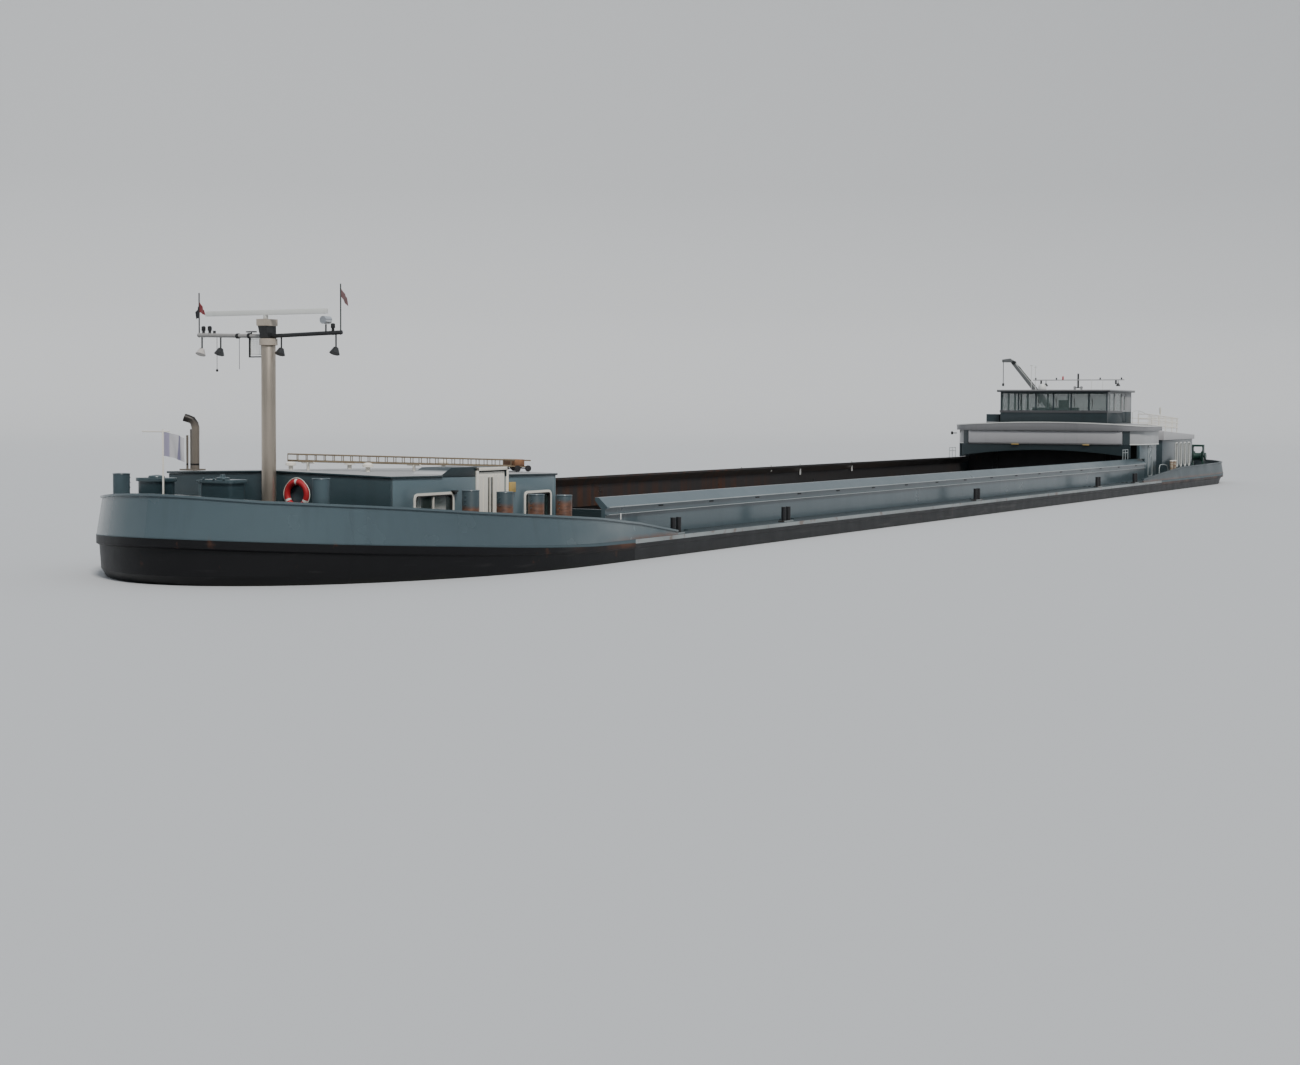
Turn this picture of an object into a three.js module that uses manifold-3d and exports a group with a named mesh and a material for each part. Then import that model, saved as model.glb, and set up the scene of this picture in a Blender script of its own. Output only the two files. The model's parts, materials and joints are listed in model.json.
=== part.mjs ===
// River cargo barge with one open hold, a 1:10 scale model.
// Millimetres of the model: bow towards +X, port side towards +Y, up is +Z, keel at Z = 0.
import * as THREE from 'three';
import { mergeVertices } from 'three/addons/utils/BufferGeometryUtils.js';
import Module from 'manifold-3d';

const wasm = await Module();
wasm.setup();

// Driving dimensions of the hull
const LENGTH = 8600;
const BEAM = 1145;
const DRAUGHT = 300;
const DECK_HEIGHT = 56;
const HOLD_FORE = 1230;
const HOLD_AFT = 6640;
const SIDE_TANK = 95;
const FLOOR_THICKNESS = 45;
const FENDER = 3.5;
const BILGE = 60;
const GAP = 0.3;
const PLATE = 6;
const HALF_BEAM = BEAM / 2;
const SIDES = [['port', 1], ['starboard', -1]];

// A place is given by its distance aft of the stem and its height above the waterline
const X = (aft) => LENGTH / 2 - aft;
const Z = (height) => DRAUGHT + height;
const DECK = Z(DECK_HEIGHT);

// Colours and finishes
const FINISH = {
  teal: { color: 0x5a7378, roughness: 0.45, metalness: 0.1 },
  darkTeal: { color: 0x2c3d42, roughness: 0.5, metalness: 0.1 },
  black: { color: 0x141617, roughness: 0.6, metalness: 0.1 },
  hold: { color: 0x33302d, roughness: 0.9, metalness: 0.1 },
  deck: { color: 0x4a5254, roughness: 0.8, metalness: 0.1 },
  white: { color: 0xe4e6e4, roughness: 0.4, metalness: 0 },
  panel: { color: 0xa9adab, roughness: 0.45, metalness: 0.1 },
  stainless: { color: 0xb3a491, roughness: 0.3, metalness: 0.9 },
  bronze: { color: 0x9b7a3f, roughness: 0.35, metalness: 0.9 },
  green: { color: 0x24503f, roughness: 0.5, metalness: 0.1 },
  seat: { color: 0x1d1f22, roughness: 0.8, metalness: 0 },
};

const barge = new THREE.Group();

function addPiece(name, geometry, finish) {
  const mesh = new THREE.Mesh(geometry, new THREE.MeshStandardMaterial(FINISH[finish]));
  mesh.name = name;
  barge.add(mesh);
  return mesh;
}

// Solids: every helper returns a closed geometry
function solidOf(geometry) {
  const bare = geometry.clone();
  bare.deleteAttribute('normal');
  bare.deleteAttribute('uv');
  const merged = mergeVertices(bare, 1e-3);
  return new wasm.Manifold(new wasm.Mesh({
    numProp: 3,
    vertProperties: new Float32Array(merged.attributes.position.array),
    triVerts: new Uint32Array(merged.index.array),
  }));
}

function geometryOf(solid) {
  const mesh = solid.getMesh();
  const geometry = new THREE.BufferGeometry();
  geometry.setAttribute('position', new THREE.BufferAttribute(mesh.vertProperties, 3));
  geometry.setIndex(new THREE.BufferAttribute(mesh.triVerts, 1));
  return geometry;
}

function join(...parts) {
  return geometryOf(parts.map(solidOf).reduce((sum, part) => sum.add(part)));
}

function cut(base, ...tools) {
  return geometryOf(tools.map(solidOf).reduce((left, tool) => left.subtract(tool), solidOf(base)));
}

function box(x0, x1, y0, y1, z0, z1) {
  const geometry = new THREE.BoxGeometry(Math.abs(x1 - x0), Math.abs(y1 - y0), Math.abs(z1 - z0));
  return geometry.translate((x0 + x1) / 2, (y0 + y1) / 2, (z0 + z1) / 2);
}

function shapeOf(points) {
  return new THREE.Shape(points.map(([a, b]) => new THREE.Vector2(a, b)));
}

function extrude(points, depth) {
  return new THREE.ExtrudeGeometry(shapeOf(points), { depth, bevelEnabled: false, curveSegments: 12 });
}

const axes = (a, b, c) => new THREE.Matrix4().makeBasis(a, b, c);
const UNIT_X = new THREE.Vector3(1, 0, 0);
const UNIT_Y = new THREE.Vector3(0, 1, 0);
const UNIT_Z = new THREE.Vector3(0, 0, 1);

// An outline of [y, z] points pushed along X, of [x, z] along Y, and of [x, y] along Z
function prismX(points, x0, x1) {
  return extrude(points, x1 - x0).applyMatrix4(axes(UNIT_Y, UNIT_Z, UNIT_X)).translate(x0, 0, 0);
}

function prismY(points, y0, y1) {
  const toY = axes(UNIT_X, UNIT_Z, UNIT_Y.clone().negate());
  return extrude(points, y1 - y0).applyMatrix4(toY).translate(0, y1, 0);
}

function prismZ(points, z0, z1) {
  return extrude(points, z1 - z0).translate(0, 0, z0);
}

function rod(from, to, radius, sides = 12, endRadius = radius) {
  const a = new THREE.Vector3(...from);
  const b = new THREE.Vector3(...to);
  const geometry = new THREE.CylinderGeometry(endRadius, radius, a.distanceTo(b), sides);
  geometry.translate(0, a.distanceTo(b) / 2, 0);
  const turn = new THREE.Quaternion().setFromUnitVectors(UNIT_Y, b.clone().sub(a).normalize());
  return geometry.applyQuaternion(turn).translate(a.x, a.y, a.z);
}

function mirrorY(points) {
  return points.map(([y, z]) => [-y, z]).reverse();
}

// Values between the rows of a table whose columns are [place, value]
function between(table, place) {
  const next = table.findIndex(([at]) => at >= place);
  if (next < 0) return table[table.length - 1][1];
  if (next === 0) return table[0][1];
  const [a, from] = table[next - 1];
  const [b, to] = table[next];
  return from + (to - from) * (place - a) / (b - a);
}

// Hull ends: rings round the plan of the ship, one above the other.
// Each ring starts at the tip on the centreline, runs along port, and comes back along starboard.
const END_STEPS = 14;

function loft(rings) {
  const count = rings[0].length;
  const last = rings.length - 1;
  const positions = rings.flat(2);
  const index = [];
  const half = (count - 1) / 2;
  for (let level = 0; level < last; level++) {
    for (let i = 0; i < count; i++) {
      const a = level * count + i;
      const b = level * count + (i + 1) % count;
      index.push(a, b, b + count, a, b + count, a + count);
    }
  }
  for (const [level, flip] of [[0, true], [last, false]]) {
    const at = (i) => level * count + i;
    const faces = [[at(0), at(1), at(count - 1)]];
    for (let i = 1; i < half; i++) {
      faces.push([at(i), at(i + 1), at(count - 1 - i)]);
      faces.push([at(i), at(count - 1 - i), at(count - i)]);
    }
    for (const [a, b, c] of faces) index.push(...(flip ? [a, c, b] : [a, b, c]));
  }
  return orient(positions, index);
}

// Turns every face outwards, once the sign of the volume shows which way they point
function orient(positions, index) {
  const point = (i) => new THREE.Vector3(...positions.slice(3 * i, 3 * i + 3));
  let volume = 0;
  for (let i = 0; i < index.length; i += 3) {
    volume += point(index[i]).dot(point(index[i + 1]).cross(point(index[i + 2])));
  }
  if (volume < 0) index.reverse();
  const geometry = new THREE.BufferGeometry();
  geometry.setAttribute('position', new THREE.Float32BufferAttribute(positions, 3));
  geometry.setIndex(index);
  return geometry;
}

// The plan at one end is a half ellipse between its tip and the parallel sides
function endPlan(end, tipInset, sideInset) {
  const { tip, shoulder, joint } = end;
  const direction = Math.sign(shoulder - tip);
  const start = tip + direction * tipInset;
  const reach = end.reach(tipInset);
  const points = [];
  for (let i = 0; i <= END_STEPS; i++) {
    const angle = (i / END_STEPS) * Math.PI / 2;
    const aft = start + direction * reach * (1 - Math.cos(angle));
    points.push([aft, (HALF_BEAM - sideInset) * Math.sin(angle)]);
  }
  points.push([joint, HALF_BEAM - sideInset]);
  return points;
}

function ring(plan, heightAt) {
  const port = plan.map(([aft, y]) => [X(aft), y, heightAt(aft)]);
  const starboard = port.slice(1).reverse().map(([x, y, z]) => [x, -y, z]);
  return [port[0], ...port.slice(1), ...starboard];
}

const BOW = { tip: 0, shoulder: 1050, joint: HOLD_FORE, reach: (inset) => 1050 - inset };
const STERN = {
  tip: LENGTH, shoulder: 7900, joint: HOLD_AFT + GAP,
  reach: (inset) => Math.min(700 + 0.3 * inset, LENGTH - inset - HOLD_AFT - 2),
};

// Sheer: the deck rises towards the stem, and a little towards the stern
const BOW_RISE = 52;
const STERN_RISE = 12;

function sheer(aft) {
  if (aft < BOW.shoulder) return DECK_HEIGHT + BOW_RISE * (1 - aft / BOW.shoulder) ** 1.35;
  if (aft > STERN.shoulder) {
    return DECK_HEIGHT + STERN_RISE * (aft - STERN.shoulder) / (LENGTH - STERN.shoulder);
  }
  return DECK_HEIGHT;
}

// The deck is flat between the stations of the plan
const STATIONS = [...endPlan(BOW, 0, 0), ...endPlan(STERN, 0, 0).reverse()];
const DECK_LINE = STATIONS.map(([aft]) => [aft, sheer(aft)]);
const deckHeight = (aft) => between(DECK_LINE, aft);

// Columns: height above the waterline or drop below the deck, inset at the tip, inset at the side
const KNUCKLE = 20;
const BOW_LEVELS = [
  { height: -300, tip: 500, side: 60 },
  { height: -282, tip: 430, side: 22 },
  { height: -240, tip: 340, side: FENDER },
  { height: -150, tip: 205, side: FENDER },
  { height: -60, tip: 90, side: FENDER },
  { height: 0, tip: 36, side: FENDER },
  { height: 22, tip: 16, side: FENDER },
  { drop: KNUCKLE + 4, tip: 10, side: FENDER },
  { drop: KNUCKLE, tip: 0, side: 0 },
  { drop: 0, tip: 0, side: 0 },
];
const STERN_LEVELS = [
  { height: -300, tip: 1300, side: 60 },
  { height: -282, tip: 1180, side: 22 },
  { height: -240, tip: 1020, side: FENDER },
  { height: -180, tip: 860, side: FENDER },
  { height: -125, tip: 680, side: FENDER },
  { height: -85, tip: 420, side: FENDER },
  { height: -55, tip: 200, side: FENDER },
  { height: 0, tip: 80, side: FENDER },
  { height: 25, tip: 50, side: FENDER },
  { drop: KNUCKLE + 4, tip: 30, side: FENDER },
  { drop: KNUCKLE, tip: 0, side: 0 },
  { drop: 0, tip: 0, side: 0 },
];

function hullEnd(end, levels) {
  return loft(levels.map((level) => {
    const heightAt = (aft) => Z('height' in level ? level.height : sheer(aft) - level.drop);
    return ring(endPlan(end, level.tip, level.side), heightAt);
  }));
}

// Mast and its well in the bow block
const MAST = { aft: 429, radius: 17.5, foot: 20, head: 551, well: -205, play: 2.5, collar: 24 };
const MAST_AT = [X(MAST.aft), 0];

// Single posts on the foredeck
const DECK_POST = { aft: 246, y: 304, radius: 20, top: 240 };

function buildBow() {
  const postFoot = Z(deckHeight(DECK_POST.aft)) - 5;
  const posts = SIDES.map(([, side]) => {
    const place = [X(DECK_POST.aft), side * DECK_POST.y];
    return rod([...place, postFoot], [...place, Z(DECK_POST.top)], DECK_POST.radius, 16);
  });
  const hull = join(hullEnd(BOW, BOW_LEVELS), ...posts);
  const deck = Z(deckHeight(MAST.aft));
  const well = rod([...MAST_AT, Z(MAST.well)], [...MAST_AT, deck + 50], MAST.radius + MAST.play, 24);
  const collar = rod([...MAST_AT, deck - 5], [...MAST_AT, deck + 9], MAST.collar, 24);
  addPiece('bow_hull', cut(join(hull, collar), well), 'black');
}

// Stern block with the engine room below the after cabin
const ENGINE_ROOM = { fore: 7215, aft: 7650, halfWidth: 300, floor: -220 };
const ENGINE = { fore: 7250, aft: 7550, halfWidth: 65, top: -40 };

function buildStern() {
  const room = box(X(ENGINE_ROOM.aft), X(ENGINE_ROOM.fore),
    -ENGINE_ROOM.halfWidth, ENGINE_ROOM.halfWidth, Z(ENGINE_ROOM.floor), DECK + 50);
  const hull = join(hullEnd(STERN, STERN_LEVELS), ...sternFittings());
  addPiece('stern_hull', cut(hull, room), 'black');
  const engine = box(X(ENGINE.aft), X(ENGINE.fore),
    -ENGINE.halfWidth, ENGINE.halfWidth, Z(ENGINE_ROOM.floor) + GAP, Z(ENGINE.top));
  addPiece('engine_block', engine, 'green');
}

function buildMidship() {
  const inner = HALF_BEAM - SIDE_TANK;
  const side = HALF_BEAM - FENDER;
  const x0 = X(HOLD_AFT);
  const x1 = X(HOLD_FORE) - GAP;
  const floor = box(x0, x1, -inner + GAP, inner - GAP, 0, FLOOR_THICKNESS);
  addPiece('hold_floor', floor, 'hold');
  const tank = [
    [inner, 0], [side - BILGE, 0], [side - BILGE * 0.3, 18], [side, BILGE],
    [side, DECK - KNUCKLE - 4], [HALF_BEAM, DECK - KNUCKLE], [HALF_BEAM, DECK], [inner, DECK],
  ];
  addPiece('side_tank_port', join(prismX(tank, x0, x1), ...sideBollards(1)), 'teal');
  addPiece('side_tank_starboard', join(prismX(mirrorY(tank), x0, x1), ...sideBollards(-1)), 'teal');
}

// Bulwarks: a leaning plate on the deck edge with a cap along its top
const BOW_RAIL = [
  [0, 206], [90, 193], [200, 185], [370, 173], [590, 155], [970, 128], [1170, 113], [1470, 69],
];
const STERN_RAIL = [[6304, 73], [6920, 114], [8140, 121], [8600, 128]];
const BULWARK_LEAN = 15;
const CAP = 5;
const BOW_RAIL_END = 1470;
const STERN_RAIL_END = 6304;

function bulwark(plan, rail, side) {
  const sections = plan.map(([aft, y, inX, inY]) => {
    const top = Z(between(rail, aft));
    const foot = Z(deckHeight(aft)) + GAP;
    const lean = BULWARK_LEAN * (top - foot) / 100;
    const at = (inset, z) => [X(aft) + inX * inset, side * (y + inY * inset), z];
    const [outer, inner] = [Math.max(lean - 3, 0), lean + PLATE + 5];
    return [
      at(1, foot), at(1 + lean, top - CAP), at(outer, top - CAP), at(outer, top),
      at(inner, top), at(inner, top - CAP), at(1 + lean + PLATE, top - CAP),
      at(1 + PLATE, foot),
    ];
  });
  return sweepSections(sections);
}

// Joins equal sections one after the other and closes both ends
function sweepSections(sections) {
  const count = sections[0].length;
  const positions = sections.flat(2);
  const index = [];
  for (let i = 0; i < sections.length - 1; i++) {
    for (let j = 0; j < count; j++) {
      const a = i * count + j;
      const b = i * count + (j + 1) % count;
      index.push(a, b, b + count, a, b + count, a + count);
    }
  }
  const shift = (sections.length - 1) * count;
  for (const [a, b, c] of capTriangles(sections[0])) {
    index.push(a, c, b, a + shift, b + shift, c + shift);
  }
  return orient(positions, index);
}

// Triangles over one section, laid flat along the direction from its foot to the inner edge of its cap
function capTriangles(section) {
  const [x0, y0] = section[0];
  const inward = new THREE.Vector2(section[4][0] - x0, section[4][1] - y0).normalize();
  const flat = section.map(([x, y, z]) => new THREE.Vector2((x - x0) * inward.x + (y - y0) * inward.y, z));
  const faces = THREE.ShapeUtils.triangulateShape(flat, []);
  return THREE.ShapeUtils.isClockWise(flat) ? faces.map(([a, b, c]) => [a, c, b]) : faces;
}

// Plan points of the deck edge with their inward direction, from the centreline aft or forward
function deckEdge(end, railEnd, first) {
  const points = [];
  const direction = Math.sign(end.shoulder - end.tip);
  const length = Math.abs(end.shoulder - end.tip);
  for (let i = 0; i <= END_STEPS; i++) {
    const angle = (i / END_STEPS) * Math.PI / 2;
    const aft = end.tip + direction * length * (1 - Math.cos(angle));
    const y = Math.max(HALF_BEAM * Math.sin(angle), first);
    const normal = new THREE.Vector2(direction * Math.cos(angle) * HALF_BEAM, -Math.sin(angle) * length);
    normal.normalize();
    points.push([aft, y, -normal.x, i === 0 ? 0 : normal.y]);
  }
  points.push([(end.shoulder + railEnd) / 2, HALF_BEAM, 0, -1], [railEnd, HALF_BEAM, 0, -1]);
  return points;
}

function buildBulwarks() {
  for (const [name, side] of SIDES) {
    const bow = deckEdge(BOW, BOW_RAIL_END, GAP / 2);
    const stern = deckEdge(STERN, STERN_RAIL_END, GAP / 2);
    addPiece(`bulwark_bow_${name}`, bulwark(bow, BOW_RAIL, side), 'teal');
    addPiece(`bulwark_stern_${name}`, bulwark(stern, STERN_RAIL, side), 'teal');
  }
}

// Coamings round the hold
const COAMING = { outer: 478.5, plate: 12, ledge: 119, rail: 139, top: 164, lean: 20, end: 6664 };

function buildCoamings() {
  const { outer, plate, ledge, rail, top, lean, end } = COAMING;
  const wall = [
    [outer - plate, DECK + GAP], [outer, DECK + GAP],
    [outer, Z(ledge - 3)], [outer + 5, Z(ledge - 3)], [outer + 5, Z(ledge)], [outer, Z(ledge)],
    [outer, Z(rail - 4)], [outer + 7, Z(rail - 4)], [outer + 7, Z(rail)],
    [outer - lean, Z(top)], [outer - lean - plate, Z(top)], [outer - lean - plate, Z(top - 8)],
    [outer - plate, Z(rail - 6)],
  ];
  const x0 = X(end);
  const x1 = X(HOLD_FORE);
  addPiece('coaming_port', prismX(wall, x0, x1), 'teal');
  addPiece('coaming_starboard', prismX(mirrorY(wall), x0, x1), 'teal');
  const across = outer - plate - GAP;
  addPiece('coaming_fore', box(X(HOLD_FORE) - plate, X(HOLD_FORE) - GAP, -across, across,
    DECK + GAP, Z(rail - 7)), 'darkTeal');
  const low = HALF_BEAM - SIDE_TANK - GAP;
  const high = outer - lean - plate - 2;
  const bulkhead = [
    [-low, FLOOR_THICKNESS + GAP], [low, FLOOR_THICKNESS + GAP], [low, DECK], [high, DECK],
    [high, Z(AFT_HOUSE.floor) - GAP], [-high, Z(AFT_HOUSE.floor) - GAP], [-high, DECK], [-low, DECK],
  ];
  addPiece('hold_bulkhead_aft', prismX(bulkhead, X(HOLD_AFT) + GAP, X(HOLD_AFT) + 8), 'black');
}

// Walls with openings; an opening's columns are from, to, bottom, top
function wallAlongX(y0, y1, outline, openings) {
  const wall = prismY(outline, y0, y1);
  const tools = openings.map(([from, to, bottom, top]) => box(from, to, y0 - 5, y1 + 5, bottom, top));
  return tools.length ? cut(wall, ...tools) : wall;
}

function wallAcross(x0, x1, outline, openings) {
  const wall = prismX(outline, x0, x1);
  const tools = openings.map(([from, to, bottom, top]) => box(x0 - 5, x1 + 5, from, to, bottom, top));
  return tools.length ? cut(wall, ...tools) : wall;
}

// Fore house: columns of an opening are aft of the stem from, to, and heights bottom, top
const FORE_HOUSE = {
  fore: 455, aft: 1195, halfWidth: 345, wall: 8, front: 234, back: 223, camber: 8, roof: 5,
};
const FORE_DOOR = { fore: 822, aft: 948, bottom: 72, top: 240 };
const FORE_WINDOWS = [[550, 712, 118, 192], [1041, 1169, 108, 182]];

function foreHouseTop(aft) {
  const { fore, aft: back, front, back: low } = FORE_HOUSE;
  return front + (low - front) * (aft - fore) / (back - fore);
}

function buildForeHouse() {
  const { fore, aft, halfWidth, wall, camber, roof } = FORE_HOUSE;
  const base = (at) => Z(deckHeight(at)) + GAP;
  const sideOutline = [
    [X(fore + wall) - GAP, base(fore + wall)], [X(fore + wall) - GAP, Z(foreHouseTop(fore + wall))],
    [X(aft - wall) + GAP, Z(foreHouseTop(aft - wall))], [X(aft - wall) + GAP, base(aft - wall)],
    ...[1000, 850, 700, 550].map((at) => [X(at), base(at)]),
  ];
  const windows = FORE_WINDOWS.map(([from, to, low, high]) => [X(to), X(from), Z(low), Z(high)]);
  const door = [X(FORE_DOOR.aft), X(FORE_DOOR.fore), Z(FORE_DOOR.bottom), Z(FORE_DOOR.top + 20)];
  addPiece('fore_house_wall_port',
    wallAlongX(halfWidth - wall, halfWidth, sideOutline, [...windows, door]), 'teal');
  addPiece('fore_house_wall_starboard',
    wallAlongX(-halfWidth, -halfWidth + wall, sideOutline, windows), 'teal');
  const endOutline = (at, lift) => [
    [-halfWidth, base(at)], [halfWidth, base(at)], [halfWidth, Z(foreHouseTop(at))],
    [0, Z(foreHouseTop(at) + lift)], [-halfWidth, Z(foreHouseTop(at))],
  ];
  const front = prismX(endOutline(fore, camber), X(fore + wall), X(fore));
  addPiece('fore_house_wall_front', front, 'darkTeal');
  const back = prismX(endOutline(aft - wall, camber), X(aft), X(aft - wall));
  addPiece('fore_house_wall_aft', back, 'teal');
  const rim = 4;
  const roofSection = (at) => {
    const z = Z(foreHouseTop(at)) + GAP;
    const points = [[-halfWidth - rim, z], [halfWidth + rim, z], [halfWidth + rim, z + roof],
      [0, z + roof + camber], [-halfWidth - rim, z + roof]];
    return [points[0], [0, z + camber + GAP], points[1], points[2], points[3], points[4]]
      .map(([y, height]) => [X(at), y, height]);
  };
  const roofSlab = loftSections([roofSection(aft + rim), roofSection(fore - rim)]);
  const hoodPlace = box(X(FORE_DOOR.aft + HOOD.lip) - GAP, X(HOOD.fore) + GAP,
    halfWidth - HOOD.depth - GAP, halfWidth + 2 * rim, Z(200), Z(300));
  addPiece('fore_house_roof', cut(roofSlab, hoodPlace), 'panel');
  buildHood();
  buildForeDoor();
}

// Sections given in order; both end faces are fans from their middle edge
function loftSections(sections) {
  const count = sections[0].length;
  const positions = sections.flat(2);
  const index = [];
  for (let i = 0; i < sections.length - 1; i++) {
    for (let j = 0; j < count; j++) {
      const a = i * count + j;
      const b = i * count + (j + 1) % count;
      index.push(a, b, b + count, a, b + count, a + count);
    }
  }
  const flat = sections[0].map(([, y, z]) => new THREE.Vector2(y, z));
  const faces = THREE.ShapeUtils.triangulateShape(flat, []);
  const shift = (sections.length - 1) * count;
  for (const [a, b, c] of faces) index.push(a, c, b, a + shift, b + shift, c + shift);
  return orient(positions, index);
}

// Companionway hood over the door: a box whose front slopes
const HOOD = { fore: 665, depth: 90, top: 254, slope: 40, nose: 6.5, frame: 251, lip: 12, wall: 8 };

function buildHood() {
  const { halfWidth } = FORE_HOUSE;
  const inner = halfWidth - HOOD.depth;
  const low = (at) => Z(foreHouseTop(at)) + 2 * GAP;
  const back = FORE_DOOR.fore - 1;
  const outline = [
    [X(HOOD.fore), low(HOOD.fore)], [X(HOOD.fore), low(HOOD.fore) + HOOD.nose],
    [X(HOOD.fore + HOOD.slope), Z(HOOD.top)], [X(back), Z(HOOD.top)], [X(back), low(back)],
  ];
  const sill = Z(foreHouseTop(FORE_DOOR.aft)) + GAP;
  const frame = box(X(FORE_DOOR.aft + HOOD.lip), X(back), inner, halfWidth + 3, sill, Z(HOOD.frame));
  const passage = box(X(FORE_DOOR.aft), X(back - 4), inner + HOOD.wall, halfWidth + 5,
    sill - 5, Z(FORE_DOOR.top + 2));
  addPiece('companionway_hood', cut(join(prismY(outline, inner, halfWidth), frame), passage), 'darkTeal');
}

function buildForeDoor() {
  const { halfWidth } = FORE_HOUSE;
  const margin = 2;
  addPiece('fore_house_door', box(X(FORE_DOOR.aft) + margin, X(FORE_DOOR.fore) - margin, halfWidth - 5,
    halfWidth - 1, Z(FORE_DOOR.bottom) + margin, Z(FORE_DOOR.top)), 'white');
}

// Telescopic mast with its cross arm, and the radar on its head
const ARM = { height: 573, span: 222, radius: 5, rise: 6 };
// Lamps below the arm, pots and staffs on it: distance from the centreline, and drop, rise or top
const ARM_LAMPS = [[-210, -28], [-150, -28], [40, -30], [205, -30]];
const ARM_POTS = [[-205, 22], [-185, 22], [-170, 16], [196, 22]];
const ARM_STAFFS = [[-219, 683], [219, 694]];
const SEARCHLIGHT = { y: 175, rise: 36, radius: 9.5, half: 12 };
const RADAR = { height: 622, span: 185, forward: 10, half: 6, seat: 22 };

function buildMast() {
  const x = X(MAST.aft);
  const upright = (y, from, to, radius, sides = 8) => rod([x, y, Z(from)], [x, y, Z(to)], radius, sides);
  addPiece('mast_tube', upright(0, MAST.foot, MAST.head, MAST.radius, 24), 'stainless');
  const collar = upright(0, MAST.head + GAP, MAST.head + 16, 22, 24);
  const seat = RADAR.height - RADAR.seat;
  const bracket = prismY([
    [x - 15, Z(MAST.head + 5)], [x + 12, Z(MAST.head + 5)], [x + 26, Z(seat)], [x - 14, Z(seat)],
  ], -12, 12);
  const gearbox = box(x - 18, x + 28, -14, 14, Z(seat - 2), Z(seat + 14));
  const arms = SIDES.map(([, side]) =>
    rod([x, 0, Z(ARM.height)], [x, side * ARM.span, Z(ARM.height + ARM.rise)], ARM.radius, 12));
  const lamps = ARM_LAMPS.map(([y, drop]) => join(
    upright(y, ARM.height + drop - 5, ARM.height + ARM.rise, 2),
    rod([x, y, Z(ARM.height + drop)], [x + 6, y, Z(ARM.height + drop - 14)], 6, 12, 13)));
  const pots = ARM_POTS.map(([y, rise]) => upright(y, ARM.height, ARM.height + rise, 3.5, 10));
  const staffs = ARM_STAFFS.map(([y, top]) => upright(y, ARM.height, top, 1.6));
  const { y: lightY, rise, radius, half } = SEARCHLIGHT;
  const lightZ = Z(ARM.height + rise);
  const search = join(upright(lightY, ARM.height, ARM.height + rise - radius + 2, 2),
    rod([x - half, lightY, lightZ], [x + half, lightY, lightZ], radius, 16));
  addPiece('mast_cross_arm',
    join(collar, bracket, gearbox, ...arms, ...lamps, ...pots, search, ...staffs), 'stainless');
  const hub = x + RADAR.forward;
  addPiece('radar_scanner', join(
    rod([hub, 0, Z(RADAR.height - 7)], [hub, 0, Z(RADAR.height + 4)], 6, 16),
    box(hub - RADAR.half, hub + RADAR.half, -RADAR.span, RADAR.span,
      Z(RADAR.height + 2), Z(RADAR.height + 14)),
  ), 'white');
}

// Mooring posts; the columns are distance aft, distance from the centreline, height of the top
const POST_RADIUS = 21;
const FORE_POSTS = [[632, 204], [782, 195], [927, 184], [1063, 177]];

function postRow(side) {
  const y = side * 452;
  const posts = FORE_POSTS.map(([aft, top]) =>
    rod([X(aft), y, Z(deckHeight(aft)) + 2], [X(aft), y, Z(top)], POST_RADIUS, 20));
  const [first] = FORE_POSTS[0];
  const [last] = FORE_POSTS[FORE_POSTS.length - 1];
  const stations = [first - 40, 700, 850, 1000, BOW.shoulder, last + 40];
  const foot = stations.map((at) => [X(at), Z(deckHeight(at)) + GAP]);
  const top = stations.map((at) => [X(at), Z(deckHeight(at)) + 4]).reverse();
  const sole = prismY([...foot, ...top].reverse(), y - 30, y + 30);
  return join(sole, ...posts);
}

// Double bollards on the side deck; single ones at both ends of the hold
const SIDE_BOLLARDS = [1500, 2220, 3960, 5600, 6230];
const BOLLARD = { radius: 7.5, height: 46, pitch: 32, y: 548 };

function sideBollards(side) {
  const y = side * BOLLARD.y;
  return SIDE_BOLLARDS.map((aft) => {
    const posts = [-0.5, 0.5].map((k) => rod([X(aft) + k * BOLLARD.pitch, y, DECK - 2],
      [X(aft) + k * BOLLARD.pitch, y, DECK + BOLLARD.height], BOLLARD.radius, 16));
    return join(box(X(aft) - 30, X(aft) + 30, y - 12, y + 12, DECK - 3, DECK + 4), ...posts);
  });
}

function buildBollards() {
  for (const [name, side] of SIDES) {
    addPiece(`fore_posts_${name}`, postRow(side), 'darkTeal');
  }
}

// A rectangle of [x, y] points with round corners
function roundedPlan(x, y, halfX, halfY, corner, steps = 4) {
  return [[1, 1], [-1, 1], [-1, -1], [1, -1]].flatMap(([a, b], quarter) =>
    Array.from({ length: steps + 1 }, (_, i) => {
      const angle = (quarter + i / steps) * Math.PI / 2;
      return [
        x + a * (halfX - corner) + corner * Math.cos(angle),
        y + b * (halfY - corner) + corner * Math.sin(angle),
      ];
    }));
}

// Windlass on the foredeck: a box housing to port, a round one to starboard, the drum between them
const WINDLASS = {
  aft: 148, reach: 30, inner: 51, outer: 150, bed: 14, top: 236, cap: 8, rim: 4, z: 165,
  drum: 30, barrel: 22, shaft: 5.5, play: 1,
};
const WINDLASS_HOUSINGS = [{ side: 1, corner: 8 }, { side: -1, corner: 24 }];

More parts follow.
